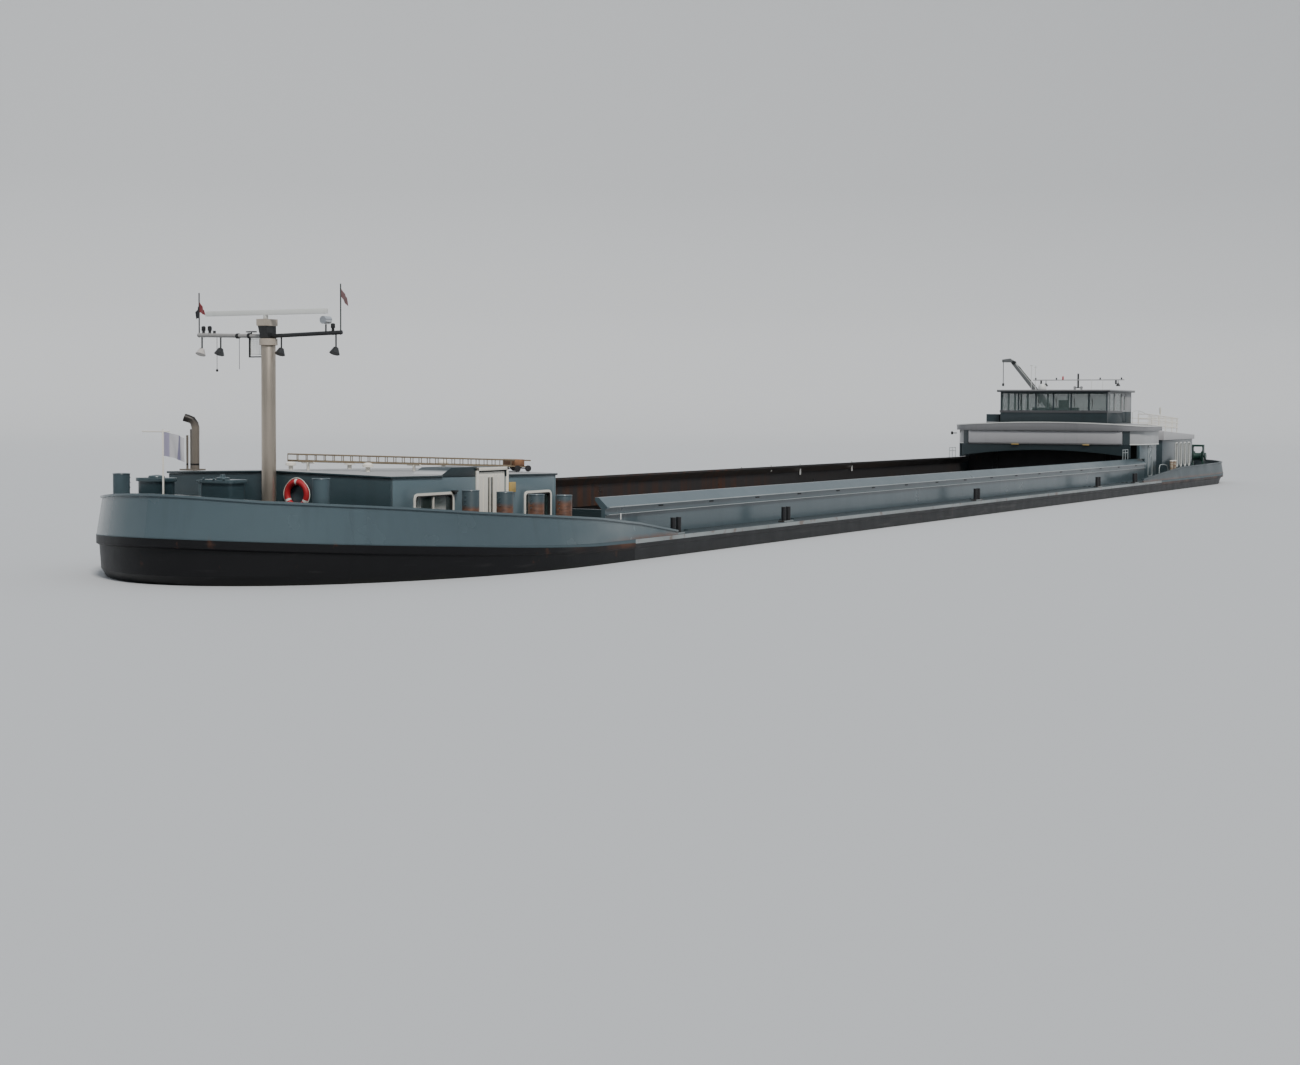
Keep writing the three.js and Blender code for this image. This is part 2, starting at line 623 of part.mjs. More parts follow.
function buildWindlass() {
  const w = WINDLASS;
  const x = X(w.aft);
  const [fore, back] = [w.aft - w.reach, w.aft + w.reach];
  const bedTop = Z(deckHeight(fore) + w.bed);
  const bed = prismY([
    [X(back), Z(deckHeight(back)) + GAP], [X(fore), Z(deckHeight(fore)) + GAP],
    [X(fore), bedTop], [X(back), bedTop],
  ], -w.outer, w.outer);
  const [middle, half] = [(w.inner + w.outer) / 2, (w.outer - w.inner) / 2];
  const housings = WINDLASS_HOUSINGS.flatMap(({ side, corner }) => {
    const plan = (inset) => roundedPlan(x, side * middle, w.reach - inset, half - inset, corner);
    return [prismZ(plan(w.rim), bedTop - 1, Z(w.top) - 1), prismZ(plan(0), Z(w.top - w.cap), Z(w.top))];
  });
  const along = (reach, radius) => rod([x, -reach, Z(w.z)], [x, reach, Z(w.z)], radius, 16);
  addPiece('windlass_frame', cut(join(bed, ...housings), along(w.inner + 18, w.shaft + w.play)), 'darkTeal');
  const flanges = [-44, 38].map((y) => rod([x, y, Z(w.z)], [x, y + 6, Z(w.z)], w.drum, 20));
  addPiece('windlass_drum', join(along(w.inner + 14, w.shaft), along(40, w.barrel), ...flanges), 'stainless');
}

// Exhaust pipes on the fore house roof, the tall one bent over at its mouth
const EXHAUST = { aft: 507, y: -303, top: 375, radius: 10, reach: 22 };
// Path of its mouth, from its top: forward, to port and up
const MOUTH = [[0, 0, -45], [0, 0, -24], [3, -6, -8], [14, -24, 0]];
// Thin pipes beside it: forward and to port of it, and the height of the top
const THIN_PIPES = [[8, -20, 330], [-10, -23, 345]];

function bentTube(points, radius, sides) {
  const section = new THREE.Shape();
  section.absarc(0, 0, radius, 0, Math.PI * 2);
  const extrudePath = new THREE.CatmullRomCurve3(points, false, 'centripetal');
  return new THREE.ExtrudeGeometry(section, {
    steps: 14, extrudePath, bevelEnabled: false, curveSegments: sides,
  });
}

function buildExhaust() {
  const { aft, y, top, radius, reach } = EXHAUST;
  const roof = Z(foreHouseTop(aft - reach) + 7);
  const x = X(aft);
  const mouth = MOUTH.map(([dx, dy, dz]) => new THREE.Vector3(x + dx, y + dy, Z(top) + dz));
  const pipe = bentTube([new THREE.Vector3(x, y, roof + 2), ...mouth], radius, 12);
  const thin = THIN_PIPES.map(([dx, dy, height]) =>
    rod([x + dx, y + dy, roof + 2], [x + dx, y + dy, Z(height)], 3, 10));
  const base = box(x - reach, x + reach, y - 34, y + 14, roof, roof + 4);
  addPiece('exhaust_pipes', join(base, pipe, ...thin), 'stainless');
}

// Bow flagstaff with its short yard
function buildBowStaff() {
  const aft = 62;
  const foot = Z(deckHeight(aft - 6)) + GAP;
  const staff = rod([X(aft), 0, foot], [X(aft), 0, Z(350)], 2.2, 10);
  const yard = rod([X(aft), -62, Z(345)], [X(aft), 20, Z(345)], 1.6, 8);
  const socket = rod([X(aft), 0, foot], [X(aft), 0, foot + 8], 6, 12);
  addPiece('bow_flagstaff', join(staff, yard, socket), 'stainless');
}

// Aft house: teal walls below, a light fascia round the front, and a roof deck
const AFT_HOUSE = {
  front: 6510, wallFore: 6575, fasciaAft: 6890, halfWidth: 478, fascia: 490, band: 12, floor: 235,
  panelTop: 304, roof: 340, wall: 8, lowSide: 168, lowMiddle: 205, eave: 10, overhang: 15, corner: 120,
};

function roundedFront(front, back, halfWidth, radius) {
  const points = [[X(back), halfWidth], [X(back), -halfWidth]];
  for (let i = 0; i <= 6; i++) {
    const angle = (i / 6) * Math.PI / 2;
    points.push([
      X(front) - radius + radius * Math.sin(angle), -halfWidth + radius - radius * Math.cos(angle),
    ]);
  }
  const mirrored = points.slice(2).map(([x, y]) => [x, -y]).reverse();
  return [...points, ...mirrored];
}

// Roof camber: the crown before the wheelhouse, and how far the edges drop
const ROOF_CAMBER = { crown: 348, drop: 18, half: 505, flatHalf: 337, back: 6659.5, root: 5, over: 20 };
const ROOF_LOCKER = { fore: 6700, aft: 6890, inner: 305, outer: 375, root: 8, top: 387 };

function roofHeight(y) {
  return Z(ROOF_CAMBER.crown - ROOF_CAMBER.drop * (y / ROOF_CAMBER.half) ** 2);
}

// The roof is cambered, flat under the wheelhouse, with a locker along its starboard side
function aftHouseRoof() {
  const h = AFT_HOUSE;
  const foot = Z(h.panelTop) + GAP;
  const top = Z(h.roof);
  const plan = roundedFront(h.front - h.eave, h.fasciaAft + h.eave, h.fascia + h.overhang, h.corner + h.eave);
  const half = WHEELHOUSE.halfWidth + 5;
  const tongue = box(X(WHEELHOUSE.aft + 5), X(h.fasciaAft), -half, half, foot, top);
  const l = ROOF_LOCKER;
  const locker = box(X(l.aft), X(l.fore), -l.outer, -l.inner, top - l.root, Z(l.top));
  const shoulders = [1, -1].map((side) => roofShoulder(side, top));
  return join(cut(prismZ(plan, foot, top), ...shoulders), tongue, roofCrown(top), locker);
}

function roofCrown(top) {
  const { flatHalf, root, back } = ROOF_CAMBER;
  const arch = Array.from({ length: 9 }, (_, i) => {
    const y = flatHalf * (i / 4 - 1);
    return [y, roofHeight(y) + 0.1];
  });
  const outline = [[-flatHalf, top - root], [flatHalf, top - root], ...arch.reverse()];
  return prismX(outline, X(back), X(AFT_HOUSE.front - AFT_HOUSE.eave));
}

// What the camber takes off one side of the flat slab
function roofShoulder(side, top) {
  const { flatHalf, half, over } = ROOF_CAMBER;
  const edge = Array.from({ length: 5 }, (_, i) => {
    const y = flatHalf + (half + over - flatHalf) * i / 4;
    return [side * y, roofHeight(y)];
  });
  const outline = [...edge, [side * (half + over), top + over], [side * flatHalf, top + over]];
  const [aft, fore] = [X(AFT_HOUSE.fasciaAft + 2 * over), X(AFT_HOUSE.front - 2 * over)];
  return prismX(side > 0 ? outline : outline.reverse(), aft, fore);
}

function buildAftHouse() {
  const h = AFT_HOUSE;
  const archHalf = COAMING.outer - 34;
  const arch = [[-archHalf, Z(h.lowSide)]];
  for (let i = 0; i <= 8; i++) {
    const y = (h.halfWidth - 60) * (i / 4 - 1);
    arch.push([y, Z(h.lowMiddle - (h.lowMiddle - h.lowSide) * (y / h.halfWidth) ** 2)]);
  }
  arch.push([archHalf, Z(h.lowSide)]);
  const front = [...arch, [archHalf, Z(h.floor) - GAP], [-archHalf, Z(h.floor) - GAP]];
  addPiece('aft_house_front', prismX(front, X(h.front) - 14, X(h.front) - 6), 'darkTeal');
  buildAftWalls();
  const outside = roundedFront(h.front, h.fasciaAft, h.fascia, h.corner);
  const inside = roundedFront(h.front + h.band, h.fasciaAft - h.band, h.fascia - h.band, h.corner - h.band);
  addPiece('aft_house_fascia', cut(prismZ(outside, Z(h.floor), Z(h.panelTop)),
    prismZ(inside, Z(h.floor) - 5, Z(h.panelTop) + 5)), 'panel');
  addPiece('aft_house_roof', aftHouseRoof(), 'panel');
  buildAfterCabin();
}

// Side walls: they stand on the deck behind the coamings, and reach forward over them
function buildAftWalls() {
  const h = AFT_HOUSE;
  const foot = DECK + GAP;
  const [back, fore, tip] = [X(h.fasciaAft), X(HOLD_AFT + 30), X(h.wallFore)];
  const over = Z(COAMING.top) + GAP;
  const under = Z(h.floor) - GAP;
  const outline = [[back, foot], [fore, foot], [fore, over], [tip, over], [tip, under], [back, under]];
  for (const [name, side] of SIDES) {
    const inner = side > 0 ? h.halfWidth - h.wall : -h.halfWidth;
    addPiece(`aft_house_wall_${name}`, prismY(outline, inner, inner + h.wall), 'teal');
  }
}

// After cabin, joined to the aft house by a narrower link; its roof is a deep cap that slopes down aft
const CABIN = { fore: 7200, aft: 7850, halfWidth: 430, wall: 8, top: 252, eave: 10 };
const CABIN_ROOF = { fore: 300, aft: 276, skin: 10 };
const LINK = { fore: 6892, halfWidth: 300 };
const CABIN_WINDOWS = [7480, 7570, 7660, 7750];
const CABIN_WINDOW = { width: 46, bottom: 105, top: 235 };

function buildAfterCabin() {
  const c = CABIN;
  const foot = DECK + GAP;
  for (const [name, side] of SIDES) {
    const upright = (fore, aft, inner, outer) =>
      box(X(aft), X(fore), side * inner, side * outer, foot, Z(c.top));
    const windows = CABIN_WINDOWS.map((fore) => box(X(fore + CABIN_WINDOW.width), X(fore),
      side * (c.halfWidth - 2 * c.wall), side * (c.halfWidth + c.wall),
      Z(CABIN_WINDOW.bottom), Z(CABIN_WINDOW.top)));
    const shoulder = c.fore + c.wall;
    const linkInner = LINK.halfWidth - c.wall;
    const wall = join(upright(c.fore, c.aft, c.halfWidth - c.wall, c.halfWidth),
      upright(c.fore, shoulder, linkInner, c.halfWidth),
      upright(LINK.fore, shoulder, linkInner, LINK.halfWidth));
    addPiece(`after_cabin_wall_${name}`, cut(wall, ...windows), 'teal');
  }
  const inner = c.halfWidth - c.wall - GAP;
  addPiece('after_cabin_wall_aft', box(X(c.aft), X(c.aft - c.wall), -inner, inner, foot, Z(c.top)), 'teal');
  addPiece('after_cabin_roof', cabinRoof(), 'white');
}

// The cap is hollow from below; the crane's round seat stands on it
function cabinRoof() {
  const { skin, fore: high, aft: low } = CABIN_ROOF;
  const rim = CABIN.wall + CABIN.eave;
  const foot = Z(CABIN.top) + GAP;
  const half = CABIN.halfWidth + CABIN.eave;
  const cap = (inset, drop, thinner) => {
    const [fore, aft] = [X(CABIN.fore - CABIN.eave) - inset, X(CABIN.aft + CABIN.eave) + inset];
    const side = [
      [aft, foot - drop], [fore, foot - drop], [fore, Z(high - thinner)], [aft, Z(low - thinner)],
    ];
    return prismY(side, inset - half, half - inset);
  };
  const link = (inset, drop, thinner) => box(X(CABIN.fore - 2 * inset), X(LINK.fore + inset),
    inset - LINK.halfWidth, LINK.halfWidth - inset, foot - drop, Z(high - thinner));
  const seat = [X(CRANE.aft), CRANE.y];
  const craneSeat = rod([...seat, Z(low + skin / 2)], [...seat, Z(CRANE.foot)], 26, 24);
  return cut(join(cap(0, 0, 0), link(0, 0, 0), craneSeat), cap(rim, 5, skin), link(CABIN.wall, 5, skin));
}

// Wheelhouse: walls with cut windows under a wide flat roof
const WHEELHOUSE = {
  fore: 6660, aft: 7110, halfWidth: 285, wall: 9, base: 340, sill: 408, head: 496, top: 503, roof: 12,
  eave: 15,
};
const WIDE_POST = 8;
const SLIM_POST = 7;
// Helm door: from the back wall, and its width
const HELM_DOOR = { from: 95, width: 70 };

function windowRow(from, to, count, post) {
  const width = (to - from - post * (count + 1)) / count;
  return Array.from({ length: count }, (_, i) => {
    const start = from + post + i * (width + post);
    return [start, start + width, Z(WHEELHOUSE.sill), Z(WHEELHOUSE.head)];
  });
}

function buildWheelhouse() {
  const w = WHEELHOUSE;
  const z0 = Z(w.base) + GAP;
  const z1 = Z(w.top);
  const sides = w.halfWidth - w.wall - GAP;
  const end = [[-w.halfWidth, z0], [w.halfWidth, z0], [w.halfWidth, z1], [-w.halfWidth, z1]];
  const across = (count, post) => windowRow(-w.halfWidth, w.halfWidth, count, post);
  const wallFrom = (aft, windows) => wallAcross(X(aft), X(aft - w.wall), end, windows);
  addPiece('wheelhouse_front', wallFrom(w.fore + w.wall, across(6, SLIM_POST)), 'darkTeal');
  addPiece('wheelhouse_back', wallFrom(w.aft, across(5, WIDE_POST)), 'teal');
  const x0 = X(w.aft - w.wall) + GAP;
  const x1 = X(w.fore + w.wall) - GAP;
  const along = [[x0, z0], [x1, z0], [x1, z1], [x0, z1]];
  const [d0, d1] = [x0 + HELM_DOOR.from, x0 + HELM_DOOR.from + HELM_DOOR.width];
  const port = [...windowRow(d1, x1, 2, WIDE_POST), [d0, d1, Z(w.base + 8), Z(w.head)]];
  addPiece('wheelhouse_wall_port', wallAlongX(sides + GAP, w.halfWidth, along, port), 'panel');
  addPiece('wheelhouse_wall_starboard',
    wallAlongX(-w.halfWidth, -sides - GAP, along, windowRow(x0, x1, 4, WIDE_POST)), 'panel');
  const reach = w.halfWidth + w.eave;
  const roof = box(X(w.aft + w.eave), X(w.fore - w.eave), -reach, reach, z1 + GAP, z1 + w.roof);
  addPiece('wheelhouse_roof', cut(join(roof, ...signalMastEars()), signalMastHole()), 'white');
  const leaf = box(d0 + 2, d1 - 2, w.halfWidth - 7, w.halfWidth - 1, Z(w.base + 10), Z(w.head - 2));
  const pane = box(d0 + 14, d1 - 14, w.halfWidth - 10, w.halfWidth + 5, Z(w.sill), Z(w.head - 12));
  addPiece('wheelhouse_door', cut(leaf, pane), 'panel');
  buildHelm(z0);
}

// Helm desk and chair inside the wheelhouse
function buildHelm(floor) {
  const { fore } = WHEELHOUSE;
  const desk = join(box(X(fore + 75), X(fore + 25), -150, 150, floor, floor + 62),
    box(X(fore + 60), X(fore + 25), -120, 120, floor + 60, floor + 82));
  addPiece('helm_desk', desk, 'darkTeal');
  const x = X(fore + 150);
  const chair = join(rod([x, 0, floor], [x, 0, floor + 42], 5, 12),
    rod([x, 0, floor], [x, 0, floor + 4], 24, 16),
    box(x - 26, x + 24, -27, 27, floor + 40, floor + 54),
    box(x - 34, x - 22, -25, 25, floor + 46, floor + 122));
  addPiece('helm_chair', chair, 'seat');
}

// Signal mast that folds on the wheelhouse roof
const SIGNAL = { aft: 7095, foot: 515, pin: 530, arm: 572, span: 250 };

function signalMastEars() {
  const x = X(SIGNAL.aft);
  return [-22, 14].map((y) => box(x - 8, x + 8, y, y + 8, Z(SIGNAL.foot) - 3, Z(SIGNAL.pin + 8)));
}

function signalMastHole() {
  return rod([X(SIGNAL.aft), -40, Z(SIGNAL.pin)], [X(SIGNAL.aft), 40, Z(SIGNAL.pin)], 3, 12);
}

function buildSignalMast() {
  const x = X(SIGNAL.aft);
  const post = join(
    rod([x, -25, Z(SIGNAL.pin)], [x, 25, Z(SIGNAL.pin)], 2.4, 12),
    rod([x, 0, Z(SIGNAL.pin)], [x, 0, Z(SIGNAL.arm + 34)], 5, 12),
    rod([x, -SIGNAL.span, Z(SIGNAL.arm)], [x, SIGNAL.span, Z(SIGNAL.arm)], 2.5, 10),
    ...[-205, 205].map((y) => rod([x, y, Z(SIGNAL.arm)], [x, y, Z(SIGNAL.arm - 24)], 5, 12)),
    ...[-235, -120, 120, 235].map((y) => rod([x, y, Z(SIGNAL.arm)], [x, y, Z(SIGNAL.arm + 12)], 4, 12)));
  addPiece('signal_mast', post, 'teal');
}

// Deck crane aft of the wheelhouse: slewing post, boom, ram and hook
const CRANE = {
  aft: 7500, y: -228, foot: 312, pivot: 355, boom: 434, root: 15, end: 10, elevation: 50, eyeAlong: 150,
  eyeBelow: 22.5, ramOut: 30, ramBelow: 28, barrel: 100, rodStart: 40, jib: 56, hook: 6,
};

// Places in the boom's own plane: distance along it from the pivot, and distance below its middle line
function craneAt(distance, below) {
  const angle = THREE.MathUtils.degToRad(CRANE.elevation);
  return [
    CRANE.y - Math.cos(angle) * distance - Math.sin(angle) * below,
    Z(CRANE.pivot) + Math.sin(angle) * distance - Math.cos(angle) * below,
  ];
}

function buildCrane() {
  const x = X(CRANE.aft);
  const across = ([y, z], half, radius, sides = 12) => rod([x - half, y, z], [x + half, y, z], radius, sides);
  const pivot = [CRANE.y, Z(CRANE.pivot)];
  const ramFoot = [CRANE.y - CRANE.ramOut, Z(CRANE.pivot - CRANE.ramBelow)];
  const eye = craneAt(CRANE.eyeAlong, CRANE.eyeBelow);
  const tip = craneAt(CRANE.boom, 0);
  const foot = Z(CRANE.foot) + GAP;
  const cheeks = [-17, 10].map((dx) =>
    box(x + dx, x + dx + 7, CRANE.y - 38, CRANE.y + 14, foot + 3, Z(CRANE.pivot + 12)));
  const post = join(rod([x, CRANE.y, foot], [x, CRANE.y, foot + 5], 24, 24), ...cheeks);
  addPiece('crane_post', cut(post, across(pivot, 30, 4), across(ramFoot, 30, 4)), 'teal');
  buildBoom(x, across, pivot, eye, tip);
  buildRam(x, across, ramFoot, eye);
  const [y, z] = [tip[0] - CRANE.jib + CRANE.hook, tip[1]];
  const hook = join(across([y, z], 5.5, 2), rod([x, y, z], [x, y, z - 128], 2, 8),
    box(x - 4, x + 4, y - 5, y + 5, z - 142, z - 126));
  addPiece('crane_hook', hook, 'darkTeal');
}

// Boom with a short jib at its head, and lugs for the ram's eye below it
function buildBoom(x, across, pivot, eye, tip) {
  const { boom, root, end, jib, eyeAlong, eyeBelow } = CRANE;
  const beam = [[-8, -root], [-8, root], [boom - 6, end], [boom, 2], [boom, -end]]
    .map(([along, below]) => craneAt(along, below));
  const head = [
    craneAt(boom - 22, -end), craneAt(boom - 4, end - 2), [tip[0] - jib, tip[1] - 7],
    [tip[0] - jib, tip[1] + 9], [tip[0] - 8, tip[1] + 15],
  ];
  const lugFoot = eyeBelow + 6;
  const lug = [[-9, 8], [-6, lugFoot], [6, lugFoot], [9, 8]]
    .map(([along, below]) => craneAt(eyeAlong + along, below));
  const lugs = [-7.5, 3.5].map((dx) => prismX(outlineUp(lug), x + dx, x + dx + 4));
  const whole = join(prismX(outlineUp(beam), x - 6.5, x + 6.5), prismX(outlineUp(head), x - 6, x + 6),
    ...lugs, across(pivot, 16, 3.4));
  const hookHole = across([tip[0] - jib + CRANE.hook, tip[1]], 20, 2.6);
  const notch = box(x - 3, x + 3, tip[0] - jib - 5, tip[0] - jib + 16, tip[1] - 20, tip[1] + 20);
  addPiece('crane_boom', cut(whole, across(eye, 20, 2.6), hookHole, notch), 'panel');
}

// Ram that lifts the boom: a bored barrel, and the rod that slides in it
function buildRam(x, across, foot, eye) {
  const line = new THREE.Vector2(eye[0] - foot[0], eye[1] - foot[1]);
  const reach = line.length();
  line.normalize();
  const along = (distance) => [x, foot[0] + line.x * distance, foot[1] + line.y * distance];
  const barrel = join(rod(along(0), along(CRANE.barrel), 6.5, 16), across(foot, 16, 3.4));
  addPiece('crane_ram_barrel', cut(barrel, rod(along(10), along(CRANE.barrel + 5), 3.6, 12)), 'darkTeal');
  const rodSolid = join(rod(along(CRANE.rodStart), along(reach), 2.9, 12), across(eye, 2, 4));
  addPiece('crane_ram_rod', rodSolid, 'stainless');
}

function outlineUp(points) {
  const flat = points.map(([a, b]) => new THREE.Vector2(a, b));
  return THREE.ShapeUtils.isClockWise(flat) ? [...points].reverse() : points;
}

// Stern gear: skeg, nozzle, propeller and two rudders
const SHAFT = { z: -212, propeller: 8030, radius: 72 };
const NOZZLE = { fore: 7975, aft: 8080, inner: 78, outer: 86 };
const RUDDER = { stock: 8170, y: 52, top: -120, foot: -285, fore: 40, aft: 130, half: 8, trunk: -110 };

function sternFittings() {
  const skeg = prismY([
    [X(7960), Z(-112)], [X(7960), Z(-298)], [X(7300), Z(-298)], [X(7300), Z(-290)], [X(7780), Z(-100)],
  ], -6, 6);
  const boss = rod([X(7700), 0, Z(SHAFT.z)], [X(7960), 0, Z(SHAFT.z)], 14, 16);
  const nozzleSeat = box(X(NOZZLE.aft - 5), X(NOZZLE.fore + 5), -10, 10,
    Z(SHAFT.z + NOZZLE.outer) + GAP, Z(-60));
  const trunks = [-1, 1].map((side) => box(X(RUDDER.stock + 22), X(RUDDER.stock - 22),
    side * RUDDER.y - 12, side * RUDDER.y + 12, Z(RUDDER.trunk), Z(-60)));
  return [skeg, boss, nozzleSeat, ...trunks];
}

function buildSternGear() {
  const { inner, outer, fore, aft } = NOZZLE;
  const profile = [[inner, 0], [outer, 0], [inner + 3, aft - fore], [inner, aft - fore], [inner, 0]];
  const nozzle = new THREE.LatheGeometry(profile.map(([r, h]) => new THREE.Vector2(r, h)), 32)
    .rotateZ(Math.PI / 2).translate(X(fore), 0, Z(SHAFT.z));
  addPiece('propeller_nozzle', nozzle, 'black');
  const hub = rod([X(8060), 0, Z(SHAFT.z)], [X(7962), 0, Z(SHAFT.z)], 13, 16);
  const blades = [0, 1, 2, 3].map((k) => {
    const blade = box(-5, 5, -17, 17, 8, SHAFT.radius - 2).rotateZ(THREE.MathUtils.degToRad(35));
    return blade.rotateX(k * Math.PI / 2).translate(X(SHAFT.propeller), 0, Z(SHAFT.z));
  });
  addPiece('propeller', join(hub, ...blades), 'bronze');
  for (const [name, side] of SIDES) {
    const y = side * RUDDER.y;
    const { stock, fore: nose, aft: tail, half } = RUDDER;
    const blade = prismZ([
      [X(stock + tail), y], [X(stock + 10), y - half], [X(stock - nose + 10), y - half + 2],
      [X(stock - nose), y], [X(stock - nose + 10), y + half - 2], [X(stock + 10), y + half],
    ], Z(RUDDER.foot), Z(RUDDER.top));
    const pin = rod([X(stock), y, Z(RUDDER.top - 10)], [X(stock), y, Z(RUDDER.trunk) - GAP], 7, 16);
    addPiece(`rudder_${name}`, join(blade, pin), 'black');
  }
}

// Stern winch: two tall cheeks on a bed with a hood over them, and the drum with its brake wheel
const WINCH = { aft: 8130, y: 397, half: 33, reach: 26, rise: 88, top: 216, cheek: 7, head: 12, bed: 5 };
const WINCH_DRUM = { radius: 30, barrel: 20, shaft: 4.4, hole: 5, wheel: 22 };

function buildSternWinch() {
  const { aft, y, half, reach, rise, top, cheek, head, bed } = WINCH;
  const x = X(aft);
  const deck = Z(deckHeight(aft + reach)) + GAP;
  const axis = deck + rise;
  const side = [
    [x - reach + 2, deck + 1], [x + reach - 2, deck + 1], [x + head, Z(top) - 1], [x - head, Z(top) - 1],
  ];
  const cheeks = [-half, half - cheek].map((dy) => prismY(side, y + dy, y + dy + cheek));
  const along = (from, to, radius, sides = 12) => rod([x, y + from, axis], [x, y + to, axis], radius, sides);
  const frame = join(box(x - reach, x + reach, y - half, y + half, deck, deck + bed), ...cheeks,
    box(x - head - 2, x + head + 2, y - half, y + half, Z(top) - head, Z(top)));
  addPiece('stern_winch_frame', cut(frame, along(-half - 5, half + 5, WINCH_DRUM.hole)), 'green');
  const { radius, barrel, shaft, wheel } = WINCH_DRUM;
  const inside = half - cheek - 3;
  addPiece('stern_winch_drum', join(along(-half - 8, half + 10, shaft), along(-inside, inside, barrel, 16),
    along(-inside, 4 - inside, radius, 20), along(inside - 4, inside, radius, 20),
    along(half + 6, half + 11, wheel, 20)), 'green');
}

buildSternWinch();
buildBow();
buildStern();
buildMidship();
buildBulwarks();
buildCoamings();
buildForeHouse();
buildMast();
buildBollards();
buildWindlass();
buildExhaust();
buildBowStaff();
buildAftHouse();
buildWheelhouse();
buildSignalMast();
buildCrane();
buildSternGear();

export default barge;
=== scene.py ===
"""River cargo barge, a 1:10 scale model: its paint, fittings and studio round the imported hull."""

import json
from math import atan2, copysign, cos, pi, radians, sin, sqrt

import bmesh
import bpy
from bpy.props import FloatProperty, FloatVectorProperty, IntProperty, PointerProperty
from mathutils import Matrix, Vector


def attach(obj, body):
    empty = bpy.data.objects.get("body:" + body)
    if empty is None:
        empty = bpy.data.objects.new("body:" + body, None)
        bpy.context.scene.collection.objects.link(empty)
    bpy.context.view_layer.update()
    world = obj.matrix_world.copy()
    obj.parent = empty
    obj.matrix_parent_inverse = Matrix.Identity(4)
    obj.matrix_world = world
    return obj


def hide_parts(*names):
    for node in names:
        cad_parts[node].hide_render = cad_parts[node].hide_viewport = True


bl_info = {
    "name": "River Barge",
    "version": (1, 0, 0),
    "blender": (4, 5, 0),
    "location": "View3D > Sidebar > Barge",
    "description": "Paints and fits out a river barge round its packed hull",
    "category": "Object",
}

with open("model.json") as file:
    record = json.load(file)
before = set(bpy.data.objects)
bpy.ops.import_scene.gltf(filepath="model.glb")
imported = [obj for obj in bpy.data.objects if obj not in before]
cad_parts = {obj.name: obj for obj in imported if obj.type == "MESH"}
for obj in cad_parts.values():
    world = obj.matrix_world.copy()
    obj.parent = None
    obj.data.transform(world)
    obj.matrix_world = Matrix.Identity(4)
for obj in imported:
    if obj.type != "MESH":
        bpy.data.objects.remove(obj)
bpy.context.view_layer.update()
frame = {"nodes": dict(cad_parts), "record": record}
BODY_OF = {node: body for body, nodes in frame["record"]["behaviour"]["bodies"].items() for node in nodes}

# A place is given as in the hull's drawing: millimetres aft of the stem, from the centreline, over the water
STEM, WATERLINE = 4300, 300
SIDES = (("port", 1), ("starboard", -1))
# The side deck's height, and how the deck rises from it: over the bow's length, and from the stern's start
SIDE_DECK = 56
BOW_LENGTH, BOW_RISE, BOW_CURVE = 1050, 52, 1.35
STERN_START, STERN_SLOPE = 7900, 12 / 700
WINDOW_LOW, WINDOW_HIGH = 408, 496
UP, SIDEWAYS, UPRIGHT = Vector((0, 0, 1)), (pi / 2, 0, 0), (0, 0, 0)


def aft(distance):
    return (STEM - distance) / 1000


def up(height):
    return (WATERLINE + height) / 1000


def spot(distance, across, height):
    return Vector((aft(distance), across / 1000, up(height)))


def sheer(distance):
    if distance < BOW_LENGTH:
        return SIDE_DECK + BOW_RISE * (1 - distance / BOW_LENGTH) ** BOW_CURVE
    return SIDE_DECK + STERN_SLOPE * max(distance - STERN_START, 0)


# Settings that a user would change
def colour(name, description, red, green, blue):
    return FloatVectorProperty(
        name=name, description=description, subtype="COLOR", size=4, min=0, max=1,
        default=(red, green, blue, 1))


def length(name, description, metres):
    return FloatProperty(name=name, description=description, default=metres, min=0, unit="LENGTH")


class BargePaint(bpy.types.PropertyGroup):
    """Colours of the barge."""

    teal: colour("Teal", "Bulwarks, coamings and house sides", 0.070, 0.104, 0.119)
    # Dark teal on the fore house front and the fore coaming is partly painted shade, for faces turned away from the
    # light
    dark_teal: colour("Dark teal", "House fronts and deck gear", 0.019, 0.033, 0.038)
    bottom: colour("Bottom", "Hull below its knuckle", 0.0065, 0.0065, 0.0075)
    deck: colour("Deck", "Decks and gangways", 0.034, 0.047, 0.052)
    edge: colour("Deck edge", "Light strip along the deck edge", 0.33, 0.36, 0.36)
    panel: colour("Panel", "Light fascia of the aft house", 0.385, 0.388, 0.390)
    white: colour("White", "Roofs, doors and window frames", 0.72, 0.73, 0.70)
    hold: colour("Hold", "Bare plates inside the hold", 0.030, 0.027, 0.025)
    rust: colour("Rust", "Rust at edges and under fittings", 0.13, 0.050, 0.022)
    stainless: colour("Stainless", "Mast and exhaust", 0.52, 0.45, 0.37)
    green: colour("Green", "Engine and stern winch", 0.014, 0.052, 0.038)
    bronze: colour("Bronze", "Propeller", 0.48, 0.29, 0.10)
    red: colour("Red", "Life rings and lamps", 0.40, 0.012, 0.018)
    yellow: colour("Yellow", "Boxes and lamps", 0.52, 0.36, 0.12)


class BargeRails(bpy.types.PropertyGroup):
    """Sizes of the guard rails."""

    height: length("Height", "Top rail over the deck", 0.091)
    spacing: length("Spacing", "From one post to the next", 0.130)
    post: length("Post radius", "Radius of a post", 0.0026)
    rail: length("Rail radius", "Radius of a rail", 0.0021)


class BargeStage(bpy.types.PropertyGroup):
    """Studio round the barge."""

    floor: colour("Floor", "Floor and backdrop", 0.55, 0.56, 0.57)
    sun: FloatProperty(name="Sun", description="Strength of the key light", default=2.6, min=0)
    sky: FloatProperty(name="Sky", description="Strength of the fill light", default=0.75, min=0)
    sides: IntProperty(name="Sides", description="Sides of the round backdrop", default=96, min=12)


